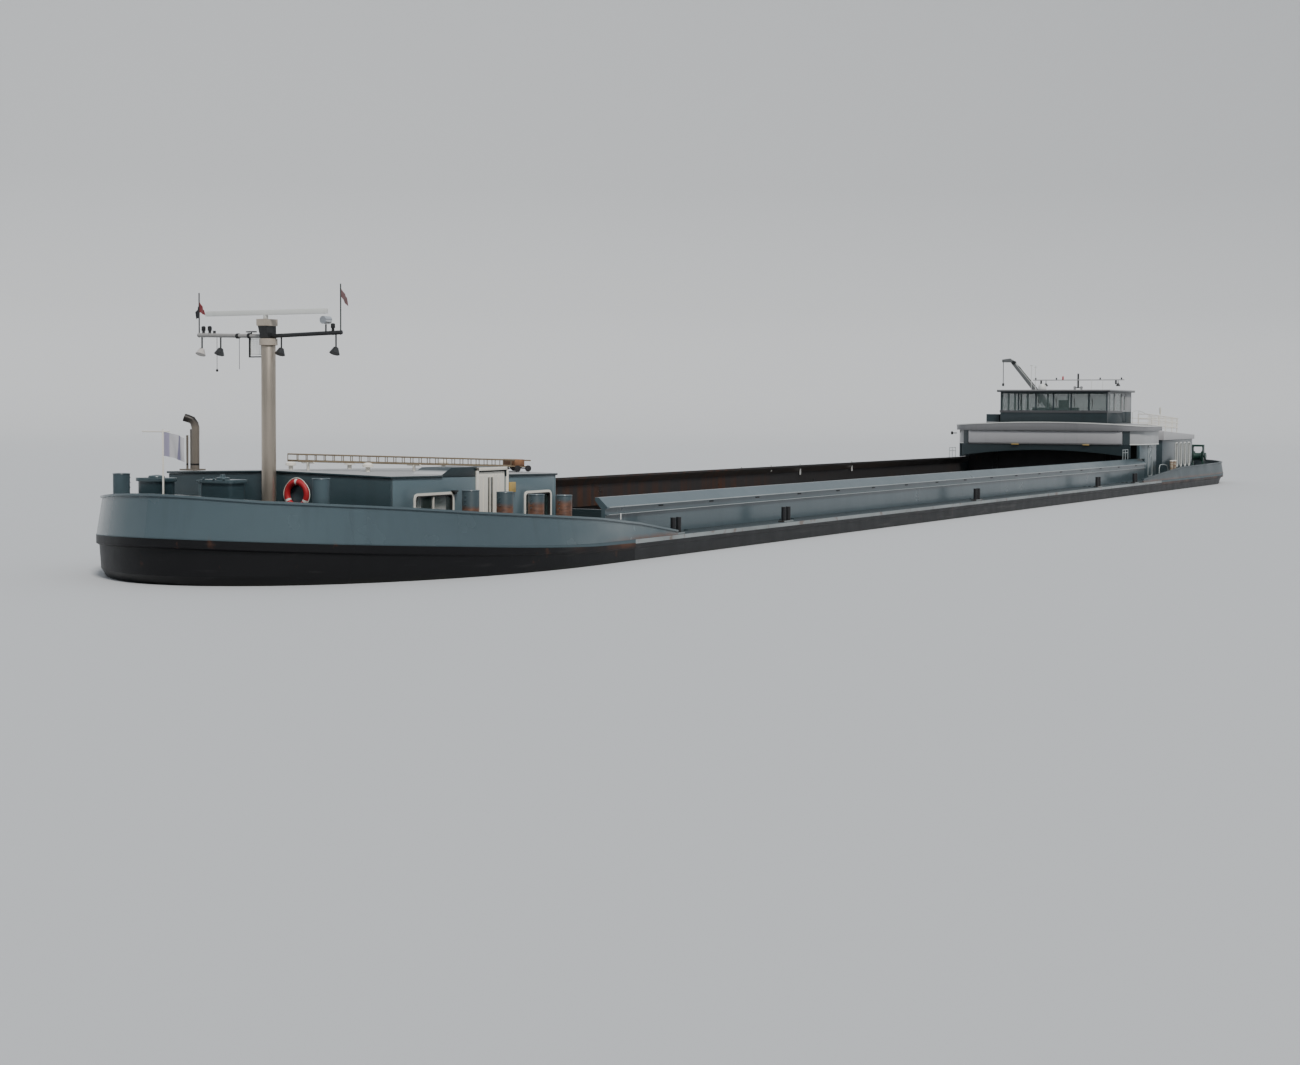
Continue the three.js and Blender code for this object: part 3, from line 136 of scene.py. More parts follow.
# Node trees: sockets in Python expressions
class Value:
    """A socket that takes part in Python expressions."""

    def __init__(self, tree, socket):
        self.tree, self.socket = tree, socket

    def work(self, operation, *others):
        return self.tree.node("ShaderNodeMath", {"operation": operation}, dict(enumerate((self, *others))))

    def __add__(self, other):
        return self.work("ADD", other)

    def __sub__(self, other):
        return self.work("SUBTRACT", other)

    def __rsub__(self, other):
        return self.work("MULTIPLY_ADD", -1, other)

    def __mul__(self, other):
        return self.work("MULTIPLY", other)

    __radd__, __rmul__ = __add__, __mul__

    def __truediv__(self, other):
        return self.work("DIVIDE", other)

    def __pow__(self, other):
        return self.work("POWER", other)

    def __gt__(self, other):
        return self.work("GREATER_THAN", other)

    def __lt__(self, other):
        return self.work("LESS_THAN", other)

    def __abs__(self):
        return self.work("ABSOLUTE")

    def most(self, other):
        return self.work("MAXIMUM", other)


class Tree:
    """A node tree, with one method that makes any node."""

    def __init__(self, tree):
        self.tree = tree

    def node(self, kind, settings=None, inputs=None, output=0):
        made = self.tree.nodes.new(kind)
        for key, value in (settings or {}).items():
            setattr(made, key, value)
        self.fill(made, inputs or {})
        return Value(self, made.outputs[output])

    def fill(self, made, inputs):
        for key, value in inputs.items():
            if isinstance(value, Value):
                self.tree.links.new(value.socket, made.inputs[key])
            else:
                made.inputs[key].default_value = value


class Finish(Tree):
    """A procedural material on Object coordinates."""

    def __init__(self, name, paint):
        self.material = bpy.data.materials.new(name)
        self.material.use_nodes = True
        super().__init__(self.material.node_tree)
        self.shader = self.tree.nodes["Principled BSDF"]
        self.place = self.node("ShaderNodeTexCoord", output=3)
        self.normal = self.node("ShaderNodeNewGeometry", output=1)
        self.rust = paint.rust

    def axis(self, letter, source=None):
        return self.node("ShaderNodeSeparateXYZ", None, {0: source or self.place}, "XYZ".index(letter))

    def noise(self, scale, detail, stretch=(1, 1, 1), rough=0.5):
        place = self.node("ShaderNodeMapping", None, {"Vector": self.place, "Scale": stretch})
        return self.node("ShaderNodeTexNoise", None, {
            "Vector": place, "Scale": scale, "Detail": detail, "Roughness": rough})

    def span(self, value, low, high):
        return self.node("ShaderNodeMapRange", None, {0: value, 1: low, 2: high})

    def patches(self, low, high, *noise):
        """Where a noise rises from one level to another."""
        return self.span(self.noise(*noise), low, high)

    def mix(self, factor, low, high):
        low, high = (c if isinstance(c, Value) else (*c[:3], 1) for c in (low, high))
        return self.node("ShaderNodeMix", {"data_type": "RGBA"}, {0: factor, 6: low, 7: high}, 2)

    def seams(self, letter, pitch, width):
        place = (self.axis(letter) / pitch).work("FRACT")
        return abs(place - 0.5) < width / pitch / 2

    def upward(self):
        return self.axis("Z", self.normal) > 0.6

    def weathered(self, base, grime, rusting):
        """Paint that has faded unevenly, with runs of dirt and a little rust."""
        tone = self.patches(0.3, 0.75, 1.6, 5, (1, 1, 2))
        faded = self.mix(tone * 0.55, shaded(base, 0.86), shaded(base, 1.16))
        runs = self.patches(0.52, 0.78, 34, 3, (1, 1, 0.07)) * self.patches(0.4, 0.7, 3.5, 2)
        dirty = self.mix(runs * grime, faded, shaded(base, 0.45))
        return self.mix(self.patches(0.66, 0.74, 22, 6, (1, 1, 0.6), 0.65) * rusting, dirty, self.rust)

    def use(self, **sockets):
        names = {name: name.replace("_", " ").title().replace("Ior", "IOR") for name in sockets}
        self.fill(self.shader, {names[name]: value for name, value in sockets.items()})
        return self.material

    def cover(self, base, rough, relief, depth, strength=0.5, coat=(), **sockets):
        """Closes the material: colour, roughness, a relief of some depth, and a coat's weight and roughness."""
        normal = self.node("ShaderNodeBump", None, {"Height": relief, "Distance": depth, "Strength": strength})
        sockets.update(zip(("coat_weight", "coat_roughness"), coat))
        return self.use(base_color=base, roughness=rough, normal=normal, **sockets)


PAINTS, FINISHES = {}, {}


def paint(build):
    """Enters the maker of a finish under its own name."""
    PAINTS[build.__name__] = build
    return build


def finish(name):
    """The material of that name, built once."""
    if name not in FINISHES:
        settings = bpy.context.scene.barge_paint
        FINISHES[name] = PAINTS[name](Finish(name, settings), settings)
    return FINISHES[name]


def shaded(base, factor):
    return [c * factor for c in base[:3]]


WORN_BLACK = ((0.010, 0.011, 0.012), (0.040, 0.040, 0.041))
CLEAR_PANE = ((3, 3), (0.070, 0.110, 0.102), (0.15, 0.20, 0.185), (0.06, 0.04))


def wet_black(m, p, rusting, low, share, bare):
    """Black paint, green near the water and scraped along the side."""
    wet = m.span(m.axis("Z") + m.noise(14, 4) * 0.03, up(-6), up(26))
    slime = m.mix((1 - wet) * 0.75, m.weathered(p.bottom, 0.2, rusting), (0.016, 0.019, 0.012))
    return m.mix(m.patches(low, low + 0.10, 60, 4, (0.10, 0.10, 1)) * share, slime, bare)


def sheered(m):
    """Height of the deck edge over the waterline along the ship, in metres."""
    place = STEM / 1000 - m.axis("X")
    fore = (1 - place / (BOW_LENGTH / 1000)).most(0.0001) ** BOW_CURVE
    return fore * (BOW_RISE / 1000) + (place - STERN_START / 1000).most(0) * STERN_SLOPE + up(SIDE_DECK)


@paint
def hull_teal(m, p, shade=1.0, gloss=0.45):
    """Bulwarks: rust at their foot, a painted reflection of the cloudy sky in the glossy paint, and painted shade on
    the cap.
    """
    x = m.axis("X")
    foot = m.span(m.axis("Z") + m.noise(25, 3) * 0.014, up(76), up(62)) * m.span(x, aft(1050), aft(1250))
    rusted = m.mix(foot * 0.8, m.weathered(shaded(p.teal, shade), 0.30, 0.14), shaded(p.rust, 0.9))
    # Pale patches towards the bow are a painted reflection of the sky in the glossy paint
    painted_cloud_reflection = m.patches(0.50, 0.72, 2.2, 4, (1, 1, 1.8)) * m.span(x, aft(850), aft(1100))
    lit = m.mix(painted_cloud_reflection * 0.45, rusted, shaded(p.edge, 0.8))
    relief = m.noise(7, 4) * 0.5 + m.noise(160, 2) * 0.04 - m.seams("X", 0.62, 0.0022) * 0.14
    # Upward faces, the cap, take dark teal: painted shade for the dark line along the cap
    return m.cover(m.mix(m.upward(), lit, p.dark_teal), m.noise(9, 4) * 0.16 + (0.35 - gloss * 0.4),
                   relief, 0.004, 0.7, (gloss, 0.12))


@paint
def house_teal(m, p, shade=1.0):
    relief = m.noise(5, 3) * 0.4 + m.noise(140, 2) * 0.04 - m.seams("X", 0.31, 0.0018) * 0.10
    return m.cover(m.weathered(shaded(p.teal, shade), 0.34, 0.08), m.noise(8, 4) * 0.15 + 0.24,
                   relief, 0.0025, 0.6, (0.35, 0.15))


@paint
def dark_teal(m, p, shade=1.0):
    return m.cover(m.weathered(shaded(p.dark_teal, shade), 0.4, 0.14), m.noise(10, 4) * 0.2 + 0.27,
                   m.noise(6, 3) * 0.4 + m.noise(150, 2) * 0.05, 0.0025, 0.6, (0.3, 0.2))


@paint
def bottom_paint(m, p):
    """Black up to the deck edge, a narrow teal strip where the bulwark ends, and deck paint on top."""
    x = m.axis("X")
    drop = sheered(m) - m.axis("Z")
    black = wet_black(m, p, 0.30, 0.62, 0.18, (0.07, 0.068, 0.066))
    edge_rust = m.span(drop, 0.028, 0.006) * m.patches(0.40, 0.62, 9, 5) * m.span(x, aft(900), aft(1150))
    rusted = m.mix(edge_rust * 0.75, black, p.rust)
    width = m.span(x, aft(500), aft(1250)) * 0.008 + 0.0012
    side = m.mix(drop < width, rusted, m.weathered(p.teal, 0.35, 0.35))
    top = m.upward() * (drop < 0.012)
    relief = (m.noise(8, 4) * 0.5 + m.noise(420, 2) * 0.35 * top + m.noise(150, 2) * 0.06
              - m.seams("X", 0.62, 0.002) * 0.14)
    return m.cover(m.mix(top, side, m.weathered(p.deck, 0.5, 0.30)), m.noise(16, 4) * 0.2 + 0.34 + top * 0.3,
                   relief, 0.004, 0.7, specular_ior_level=0.22)


@paint
def side_tank(m, p):
    """Black side, a light strip on the deck edge, deck paint above, bare plate inside."""
    z = m.axis("Z")
    tone = m.mix(m.patches(0.35, 0.75, 5, 5), shaded(p.edge, 0.6), p.edge)
    strip = m.mix(m.patches(0.56, 0.66, 26, 5) * 0.55, tone, p.rust)
    side = m.mix(z > up(45), wet_black(m, p, 0.35, 0.60, 0.25, (0.09, 0.085, 0.08)), strip)
    runs = m.patches(0.48, 0.66, 40, 3, (1, 1, 0.05)) * m.patches(0.45, 0.62, 1.6, 2)
    bare = m.mix(runs * 0.5, (0.036, 0.034, 0.033), shaded(p.rust, 0.55))
    top = m.upward() * (z > up(50))
    low = m.mix(top, m.mix(abs(m.axis("Y")) > 0.556, bare, side), m.weathered(p.deck, 0.5, 0.4))
    relief = m.noise(8, 4) * 0.5 + m.noise(420, 2) * 0.3 * top - m.seams("X", 0.62, 0.002) * 0.14
    return m.cover(m.mix(z > up(61), low, shaded(p.bottom, 1.5)), m.noise(16, 4) * 0.2 + 0.42,
                   relief, 0.004, 0.7)


@paint
def hold_plate(m, p):
    tone = m.mix(m.patches(0.35, 0.7, 3, 6, (1, 1, 1), 0.6), p.hold, (0.085, 0.075, 0.066))
    rusty = m.mix(m.patches(0.50, 0.66, 11, 6) * 0.6, tone, shaded(p.rust, 0.7))
    scratched = m.mix(m.patches(0.6, 0.68, 90, 3, (0.05, 1, 1)) * 0.3, rusty, (0.16, 0.15, 0.14))
    return m.cover(scratched, m.noise(20, 4) * 0.3 + 0.45,
                   m.noise(30, 4) * 0.6 - m.seams("X", 0.52, 0.002) * 0.3, 0.003, 0.8, metallic=0.25)


@paint
def coaming_teal(m, p):
    """Teal outside, bare and rusty towards the hold."""
    inward = m.axis("Y", m.normal) * m.axis("Y").work("SIGN") < -0.5
    runs = m.patches(0.42, 0.60, 36, 3, (1, 1, 0.05)) * m.patches(0.50, 0.64, 1.5, 2)
    bare = m.mix(runs * 0.7, (0.040, 0.038, 0.038), shaded(p.rust, 0.8))
    return m.cover(m.mix(inward, m.weathered(p.teal, 0.35, 0.18), bare), m.noise(9, 4) * 0.18 + 0.22,
                   m.noise(7, 4) * 0.5 - m.seams("X", 0.62, 0.0022) * 0.16, 0.004, 0.7, (0.35, 0.15))


@paint
def hold_black(m, p):
    """Near-black on the bulkhead under the aft house, rubbed and rusty."""
    return m.cover(m.weathered(shaded(p.bottom, 2.2), 0.3, 0.35), m.noise(16, 4) * 0.2 + 0.5,
                   m.noise(8, 4) * 0.5 - m.seams("Y", 0.24, 0.002) * 0.2, 0.003, 0.7)


@paint
def light_panel(m, p):
    seam = m.seams("Y", 0.165, 0.0022)
    base = m.mix(seam * 0.5, m.weathered(p.panel, 0.22, 0.05), shaded(p.panel, 0.4))
    return m.cover(base, m.noise(8, 3) * 0.14 + 0.28, m.noise(5, 3) * 0.4 - seam * 0.35, 0.003, 0.6, (0.25, 0.2))


@paint
def edge_line(m, p):
    return m.use(base_color=m.weathered(shaded(p.edge, 1.25), 0.3, 0.1), roughness=0.5)


@paint
def white_paint(m, p):
    return m.cover(m.weathered(p.white, 0.20, 0.05), m.noise(12, 3) * 0.15 + 0.30,
                   m.noise(9, 3) * 0.3 + m.noise(200, 2) * 0.05, 0.002, coat=(0.2, 0.2))


@paint
def roof_paint(m, p, edge=(0.023, 0.040, 0.046)):
    """Pale non-slip paint on top of a roof, another colour round its edge, and teal on the locker on it."""
    grit = m.noise(520, 2)
    top = m.upward()
    pale = m.mix(grit * 0.3, m.weathered(shaded(p.panel, 0.94), 0.30, 0.05), shaded(p.panel, 0.6))
    locker = (m.axis("Y") < -0.2995) * (m.axis("Z") > up(348.6)) * (m.axis("X") < aft(6690))
    painted = m.mix(locker, m.mix(top, m.weathered(edge, 0.3, 0.05), pale), p.dark_teal)
    return m.cover(painted, top * 0.3 + 0.38, grit * top, 0.0012)


@paint
def front_panel(m, p):
    """Large greyish plates on the front of the aft house."""
    return m.cover(m.weathered((0.420, 0.416, 0.428), 0.18, 0.04), m.noise(8, 3) * 0.14 + 0.34,
                   m.noise(5, 3) * 0.4 - m.seams("Y", 0.27, 0.0016) * 0.15, 0.002, coat=(0.15, 0.2))


@paint
def wheelhouse_side(m, p):
    """Wheelhouse sides: pale round the windows, teal below the sill."""
    base = m.mix(m.axis("Z") < up(402), m.weathered(shaded(p.panel, 0.8), 0.2, 0.05),
                 m.weathered(shaded(p.teal, 0.42), 0.3, 0.08))
    return m.cover(base, m.noise(8, 3) * 0.15 + 0.42, m.noise(6, 3), 0.002, specular_ior_level=0.3)


@paint
def hood_paint(m, p):
    """Companionway hood: dark teal with a pale front slope."""
    leaning = m.upward().most(m.axis("Z", m.normal) > 0.3)
    slope = m.span(m.axis("X", m.normal), 0.3, 0.4) * leaning
    base = m.mix(slope, m.weathered(p.dark_teal, 0.4, 0.14), m.weathered(shaded(p.panel, 1.25), 0.3, 0.05))
    return m.cover(base, m.noise(10, 4) * 0.2 + 0.3, m.noise(6, 3), 0.002)


@paint
def eave_paint(m, p):
    """Wheelhouse roof: pale above, and near black under the eaves as painted shade."""
    # Below 510 mm the roof's edge is near black: painted shade under the eaves
    base = m.mix(m.axis("Z") > up(510), m.weathered((0.030, 0.033, 0.037), 0.2, 0.0),
                 m.weathered(shaded(p.panel, 0.72), 0.25, 0.05))
    return m.cover(base, m.noise(12, 3) * 0.15 + 0.35, m.noise(200, 2), 0.0006, coat=(0.15,))


@paint
def arm_paint(m, p):
    """Cross arm: black, with a pale starboard tube, a beige gearbox and collar, and a chromed lamp."""
    y, z, grain = m.axis("Y"), m.axis("Z"), m.noise(80, 4)
    gearbox = (abs(y) < 0.024) * (1 - (z > up(567.5)) * (z < up(597.5)))
    tube = (y < -0.024) * (abs(z - abs(y) * 0.027 - up(573)) < 0.0056)
    glass = (y < -0.195) * (z < up(546))
    lamp = (abs(y - 0.175) < 0.0115) * (z > up(598))
    beige = m.mix(grain * 0.4, (0.46, 0.40, 0.33), (0.22, 0.19, 0.16))
    grey = m.mix(grain * 0.5, (0.33, 0.32, 0.31), (0.16, 0.155, 0.15))
    base = m.mix(tube, m.mix(gearbox, m.mix(grain * 0.6, *WORN_BLACK), beige), grey)
    shown = m.mix(lamp, m.mix(glass, base, (0.50, 0.47, 0.44)), (0.70, 0.71, 0.73))
    return m.cover(shown, grain * 0.2 + 0.34 - lamp * 0.26, grain, 0.0005, metallic=lamp * 0.95)


@paint
def signal_paint(m, p):
    """Signal mast: a pale yard, and black lamps and post."""
    grain = m.noise(80, 4)
    pale = m.mix(grain * 0.5, (0.38, 0.38, 0.38), (0.24, 0.24, 0.24))
    base = m.mix(abs(m.axis("Z") - up(572)) < 0.0027, m.mix(grain * 0.6, *WORN_BLACK), pale)
    return m.cover(base, grain * 0.2 + 0.36, grain, 0.0005)


@paint
def brushed(m, p):
    """Ground stainless steel with tea-coloured stains."""
    grind = m.noise(500, 2, (1, 1, 0.04))
    stain = m.patches(0.42, 0.72, 16, 4, (1, 1, 0.3))
    tone = m.mix(stain * 0.5, p.stainless, shaded(p.stainless, 0.55))
    return m.cover(m.mix(grind * 0.3, tone, shaded(p.stainless, 1.3)), grind * 0.2 + 0.24,
                   grind, 0.0004, 0.4, metallic=0.8)


@paint
def sooty_pipe(m, p):
    """Exhaust: beige metal, black at its mouth and at a ring near its foot."""
    z = m.axis("Z")
    soot = (m.span(z + m.noise(60, 3) * 0.004, up(352), up(372)) * 0.9).most(abs(z - up(256)) < 0.0022)
    stain = m.patches(0.4, 0.7, 20, 4, (1, 1, 0.2))
    base = m.mix(stain * 0.6, shaded(p.stainless, 0.44), shaded(p.stainless, 0.20))
    return m.cover(m.mix(soot, base, (0.012, 0.011, 0.011)), stain * 0.2 + 0.38, stain, 0.0005, metallic=0.45)


@paint
def post_paint(m, p):
    """Mooring posts: teal heads, rust below where ropes have rubbed."""
    z = m.axis("Z") + m.noise(30, 4) * 0.014
    bare = m.span(z, up(174), up(164)) * m.span(z, up(70), up(84))
    rust = m.mix(m.patches(0.35, 0.7, 60, 4, (1, 1, 3)), shaded(p.rust, 1.4), shaded(p.rust, 0.5))
    return m.cover(m.mix(bare * 0.85, m.weathered(shaded(p.teal, 0.72), 0.4, 0.3), rust),
                   m.noise(20, 4) * 0.2 + 0.35, m.noise(40, 4, (1, 1, 2)) * 0.5, 0.0015, 0.8, (0.1,))


@paint
def bronze_cast(m, p):
    base = m.mix(m.patches(0.35, 0.7, 18, 5) * 0.7, p.bronze, (0.10, 0.16, 0.10))
    return m.cover(base, m.noise(25, 4) * 0.2 + 0.25, m.noise(60, 3), 0.0006, 0.6, metallic=0.9)


@paint
def black_rubber(m, p):
    grain = m.noise(240, 3)
    base = m.mix(grain * 0.5, (0.012, 0.012, 0.013), (0.035, 0.034, 0.033))
    return m.cover(base, m.noise(30, 3) * 0.2 + 0.55, grain, 0.0006, 0.6)


def glazing(film, deep, pale, rough, alpha, haze=None):
    """Panes under a film; roughness and alpha are a share of it and a least value, alpha's of a haze if given."""
    def build(m, p):
        cloud = m.noise(*film)
        veil = m.noise(*haze) if haze else cloud
        return m.use(base_color=m.mix(cloud * 0.6, deep, pale), roughness=cloud * rough[0] + rough[1], ior=1.5,
                     coat_weight=0.6, coat_roughness=0.02, alpha=veil * alpha[0] + alpha[1])
    return build


@paint
def worn_cream(m, p):
    worn = m.patches(0.40, 0.62, 40, 4, (1, 1, 2))
    return m.cover(m.mix(worn * 0.8, (0.36, 0.32, 0.25), shaded(p.rust, 1.2)), worn * 0.3 + 0.4, worn, 0.0006)


@paint
def ring_cloth(m, p):
    """Life ring: red canvas with white bands at even places round it."""
    turn = (m.axis("Y") - 0.072).work("ARCTAN2", m.axis("Z") - up(191))
    band = abs((turn / (2 * pi / 3) + 10.5).work("FRACT") - 0.5) < 0.045
    canvas = m.noise(900, 2)
    red = m.mix(m.patches(0.4, 0.7, 25, 4) * 0.4, p.red, shaded(p.red, 0.5))
    return m.cover(m.mix(band, red, (0.62, 0.60, 0.56)), canvas * 0.1 + 0.5, canvas, 0.0004, 0.6)


@paint
def curtain_cloth(m, p):
    weave = m.noise(800, 2)
    base = m.mix(m.noise(8, 3) * 0.5, (0.58, 0.58, 0.55), (0.34, 0.37, 0.36))
    return m.cover(base, weave * 0.1 + 0.8, weave, 0.0004, 0.6, sheen_weight=0.2)


@paint
def lamp_lens(m, p):
    base = m.mix(m.noise(40, 2) * 0.5, (0.62, 0.60, 0.52), (0.80, 0.78, 0.72))
    return m.cover(base, 0.12, (m.axis("Z") * 900).work("SINE"), 0.0003, coat=(0.5,))


@paint
def rusty_orange(m, p):
    base = m.mix(m.patches(0.35, 0.65, 40, 5), (0.28, 0.13, 0.055), (0.10, 0.052, 0.030))
    return m.cover(base, m.noise(30, 3) * 0.2 + 0.5, m.noise(90, 3), 0.0008, 0.6)


@paint
def gangway_wood(m, p):
    fibres = m.noise(160, 3, (0.04, 1, 1))
    base = m.mix(m.noise(12, 4, (0.06, 1, 1), 0.6), (0.13, 0.095, 0.055), (0.30, 0.235, 0.15))
    return m.cover(m.mix(fibres * 0.4, base, (0.09, 0.075, 0.06)), fibres * 0.2 + 0.6, fibres, 0.0008, 0.7)


@paint
def flag_cloth(m, p):
    """Pale bunting with one broad coloured band near the fly."""
    weave = m.noise(900, 2)
    y = m.axis("Y") + m.noise(20, 2) * 0.004
    lilac = m.span(abs(y - 0.014), 0.010, 0.007)
    violet = m.span(abs(y - 0.052), 0.007, 0.005)
    base = m.mix(violet * 0.8, m.mix(lilac * 0.6, (0.50, 0.49, 0.51), (0.15, 0.12, 0.30)), (0.06, 0.045, 0.17))
    return m.cover(m.mix(weave * 0.25, base, (0.35, 0.34, 0.36)), 0.85, weave, 0.0004, 0.6, sheen_weight=0.2)


@paint
def studio_floor(m, p):
    floor = bpy.context.scene.barge_stage.floor
    return m.use(base_color=m.mix(m.noise(0.4, 2) * 0.25, floor, shaded(floor, 0.93)), roughness=0.75)


def bunting(*shade):
    """Plain bunting of one colour, soiled towards its foot."""
    def build(m, p):
        weave = m.noise(900, 2)
        base = m.mix(m.patches(0.4, 0.7, 60, 3) * 0.5, shade, shaded(shade, 0.5))
        return m.cover(m.mix(weave * 0.3, base, shaded(shade, 0.7)), 0.85, weave, 0.0004, 0.6, sheen_weight=0.2)
    return build


def even(shade, grime, rusting, rough, grain, depth, strength=0.5, **sockets):
    """Weathered paint, with its roughness as a noise's scale, detail, share and least, and its relief's noise."""
    def build(m, p):
        scale, detail, share, least = rough
        base = getattr(p, shade) if isinstance(shade, str) else shade
        return m.cover(m.weathered(base, grime, rusting), m.noise(scale, detail) * share + least,
                       m.noise(*grain), depth, strength, **sockets)
    return build


def stained(shade, share, dim, least):
    """Gloss paint of one of the user's colours, dimmed in patches."""
    def build(m, p):
        base = getattr(p, shade)
        return m.cover(m.mix(m.patches(0.45, 0.7, 25, 4) * share, base, shaded(base, dim)),
                       m.noise(30, 3) * 0.15 + least, m.noise(90, 2), 0.0004)
    return build


def grained(fine, share, dark, pale, rough, least, depth, strength, **sockets):
    """A finish whose colour, roughness and relief all follow one fine noise."""
    def build(m, p):
        grain = m.noise(*fine)
        tone = m.mix(grain * share if share < 1 else grain, dark, pale)
        return m.cover(tone, grain * rough + least, grain, depth, strength, **sockets)
    return build


PAINTS.update({
    # The stern bulwark takes the bow's teal at 0.62 of its brightness: painted shade
    "stern_teal": lambda m, p: hull_teal(m, p, 0.62, 0.05),
    # The fore house's side and aft walls take house teal 1.6 times as bright: painted light
    "fore_teal": lambda m, p: house_teal(m, p, 1.6),
    # The after cabin's walls take house teal at 0.6 of its brightness: painted shade
    "cabin_teal": lambda m, p: house_teal(m, p, 0.6),
    "deck_teal": lambda m, p: dark_teal(m, p, 2.3),
    # The fore house front takes dark teal, far darker than its side walls: painted shade for a wall turned away from
    # the light
    "front_teal": lambda m, p: dark_teal(m, p, 1.65),
    "cabin_roof": lambda m, p: roof_paint(m, p, (0.44, 0.435, 0.44)),
    "aft_roof": lambda m, p: roof_paint(m, p, (0.215, 0.216, 0.224)),
    "window_glass": glazing((6, 3), (0.012, 0.022, 0.024), (0.050, 0.070, 0.072), (0.05, 0.03), (0.2, 0.55),
                            (2.2, 2)),
    "clear_glass": glazing(*CLEAR_PANE, (0.14, 0.30)),
    "thin_glass": glazing(*CLEAR_PANE, (0.14, 0.10)),
    "pennant_black": bunting(0.012, 0.014, 0.020),
    "pennant_red": bunting(0.22, 0.035, 0.040),
    "pennant_grey": bunting(0.20, 0.11, 0.11),
    "boom_paint": even((0.12, 0.125, 0.125), 0.35, 0.2, (30, 4, 0.2, 0.32), (60, 3), 0.0006, coat=(0.15,)),
    "green_paint": even("green", 0.4, 0.3, (20, 4, 0.2, 0.35), (30, 4), 0.001, 0.6, coat=(0.2,)),
    "cream_paint": even((0.84, 0.80, 0.71), 0.20, 0.10, (12, 3, 0.15, 0.35), (60, 3), 0.0008, coat=(0.15, 0.2)),
    "grey_trim": even((0.072, 0.074, 0.078), 0.25, 0.05, (12, 3, 0.15, 0.30), (9, 3), 0.0012, coat=(0.2, 0.2)),
    "red_gloss": stained("red", 0.4, 0.45, 0.35),
    "yellow_paint": stained("yellow", 0.5, 0.5, 0.4),
    "black_metal": grained((80, 4), 0.6, *WORN_BLACK, 0.25, 0.32, 0.0005, 0.5, metallic=0.2),
    "chrome": grained((60, 3), 0.4, (0.72, 0.74, 0.76), (0.45, 0.47, 0.50), 0.1, 0.08, 0.0002, 0.4, metallic=1.0),
    "zinc": grained((120, 4), 1, (0.16, 0.165, 0.17), (0.36, 0.36, 0.35), 0.2, 0.5, 0.0006, 0.7, metallic=0.4),
    "rope_coil": grained((260, 3, (1, 1, 0.3)), 1, (0.13, 0.11, 0.08), (0.36, 0.32, 0.25), 0.1, 0.75, 0.0008, 0.8),
    "seat_cloth": grained((700, 2), 0.6, (0.012, 0.013, 0.016), (0.040, 0.042, 0.050), 0.2, 0.7,
                          0.0006, 0.6, sheen_weight=0.3),
})


# Meshes: closed forms collected into one piece
def circle(u, v, sides):
    """Unit vectors round a circle in the plane of u and v."""
    return [u * cos(t) + v * sin(t) for t in (2 * pi * k / sides for k in range(sides))]


def strips(level, count, last=0):
    """Faces between one ring of points and the next one, which may be the first again."""
    for i in range(count):
        a, b = level * count + i, level * count + (i + 1) % count
        yield (a, b, (b + count) % last, (a + count) % last) if last else (a, b, b + count, a + count)


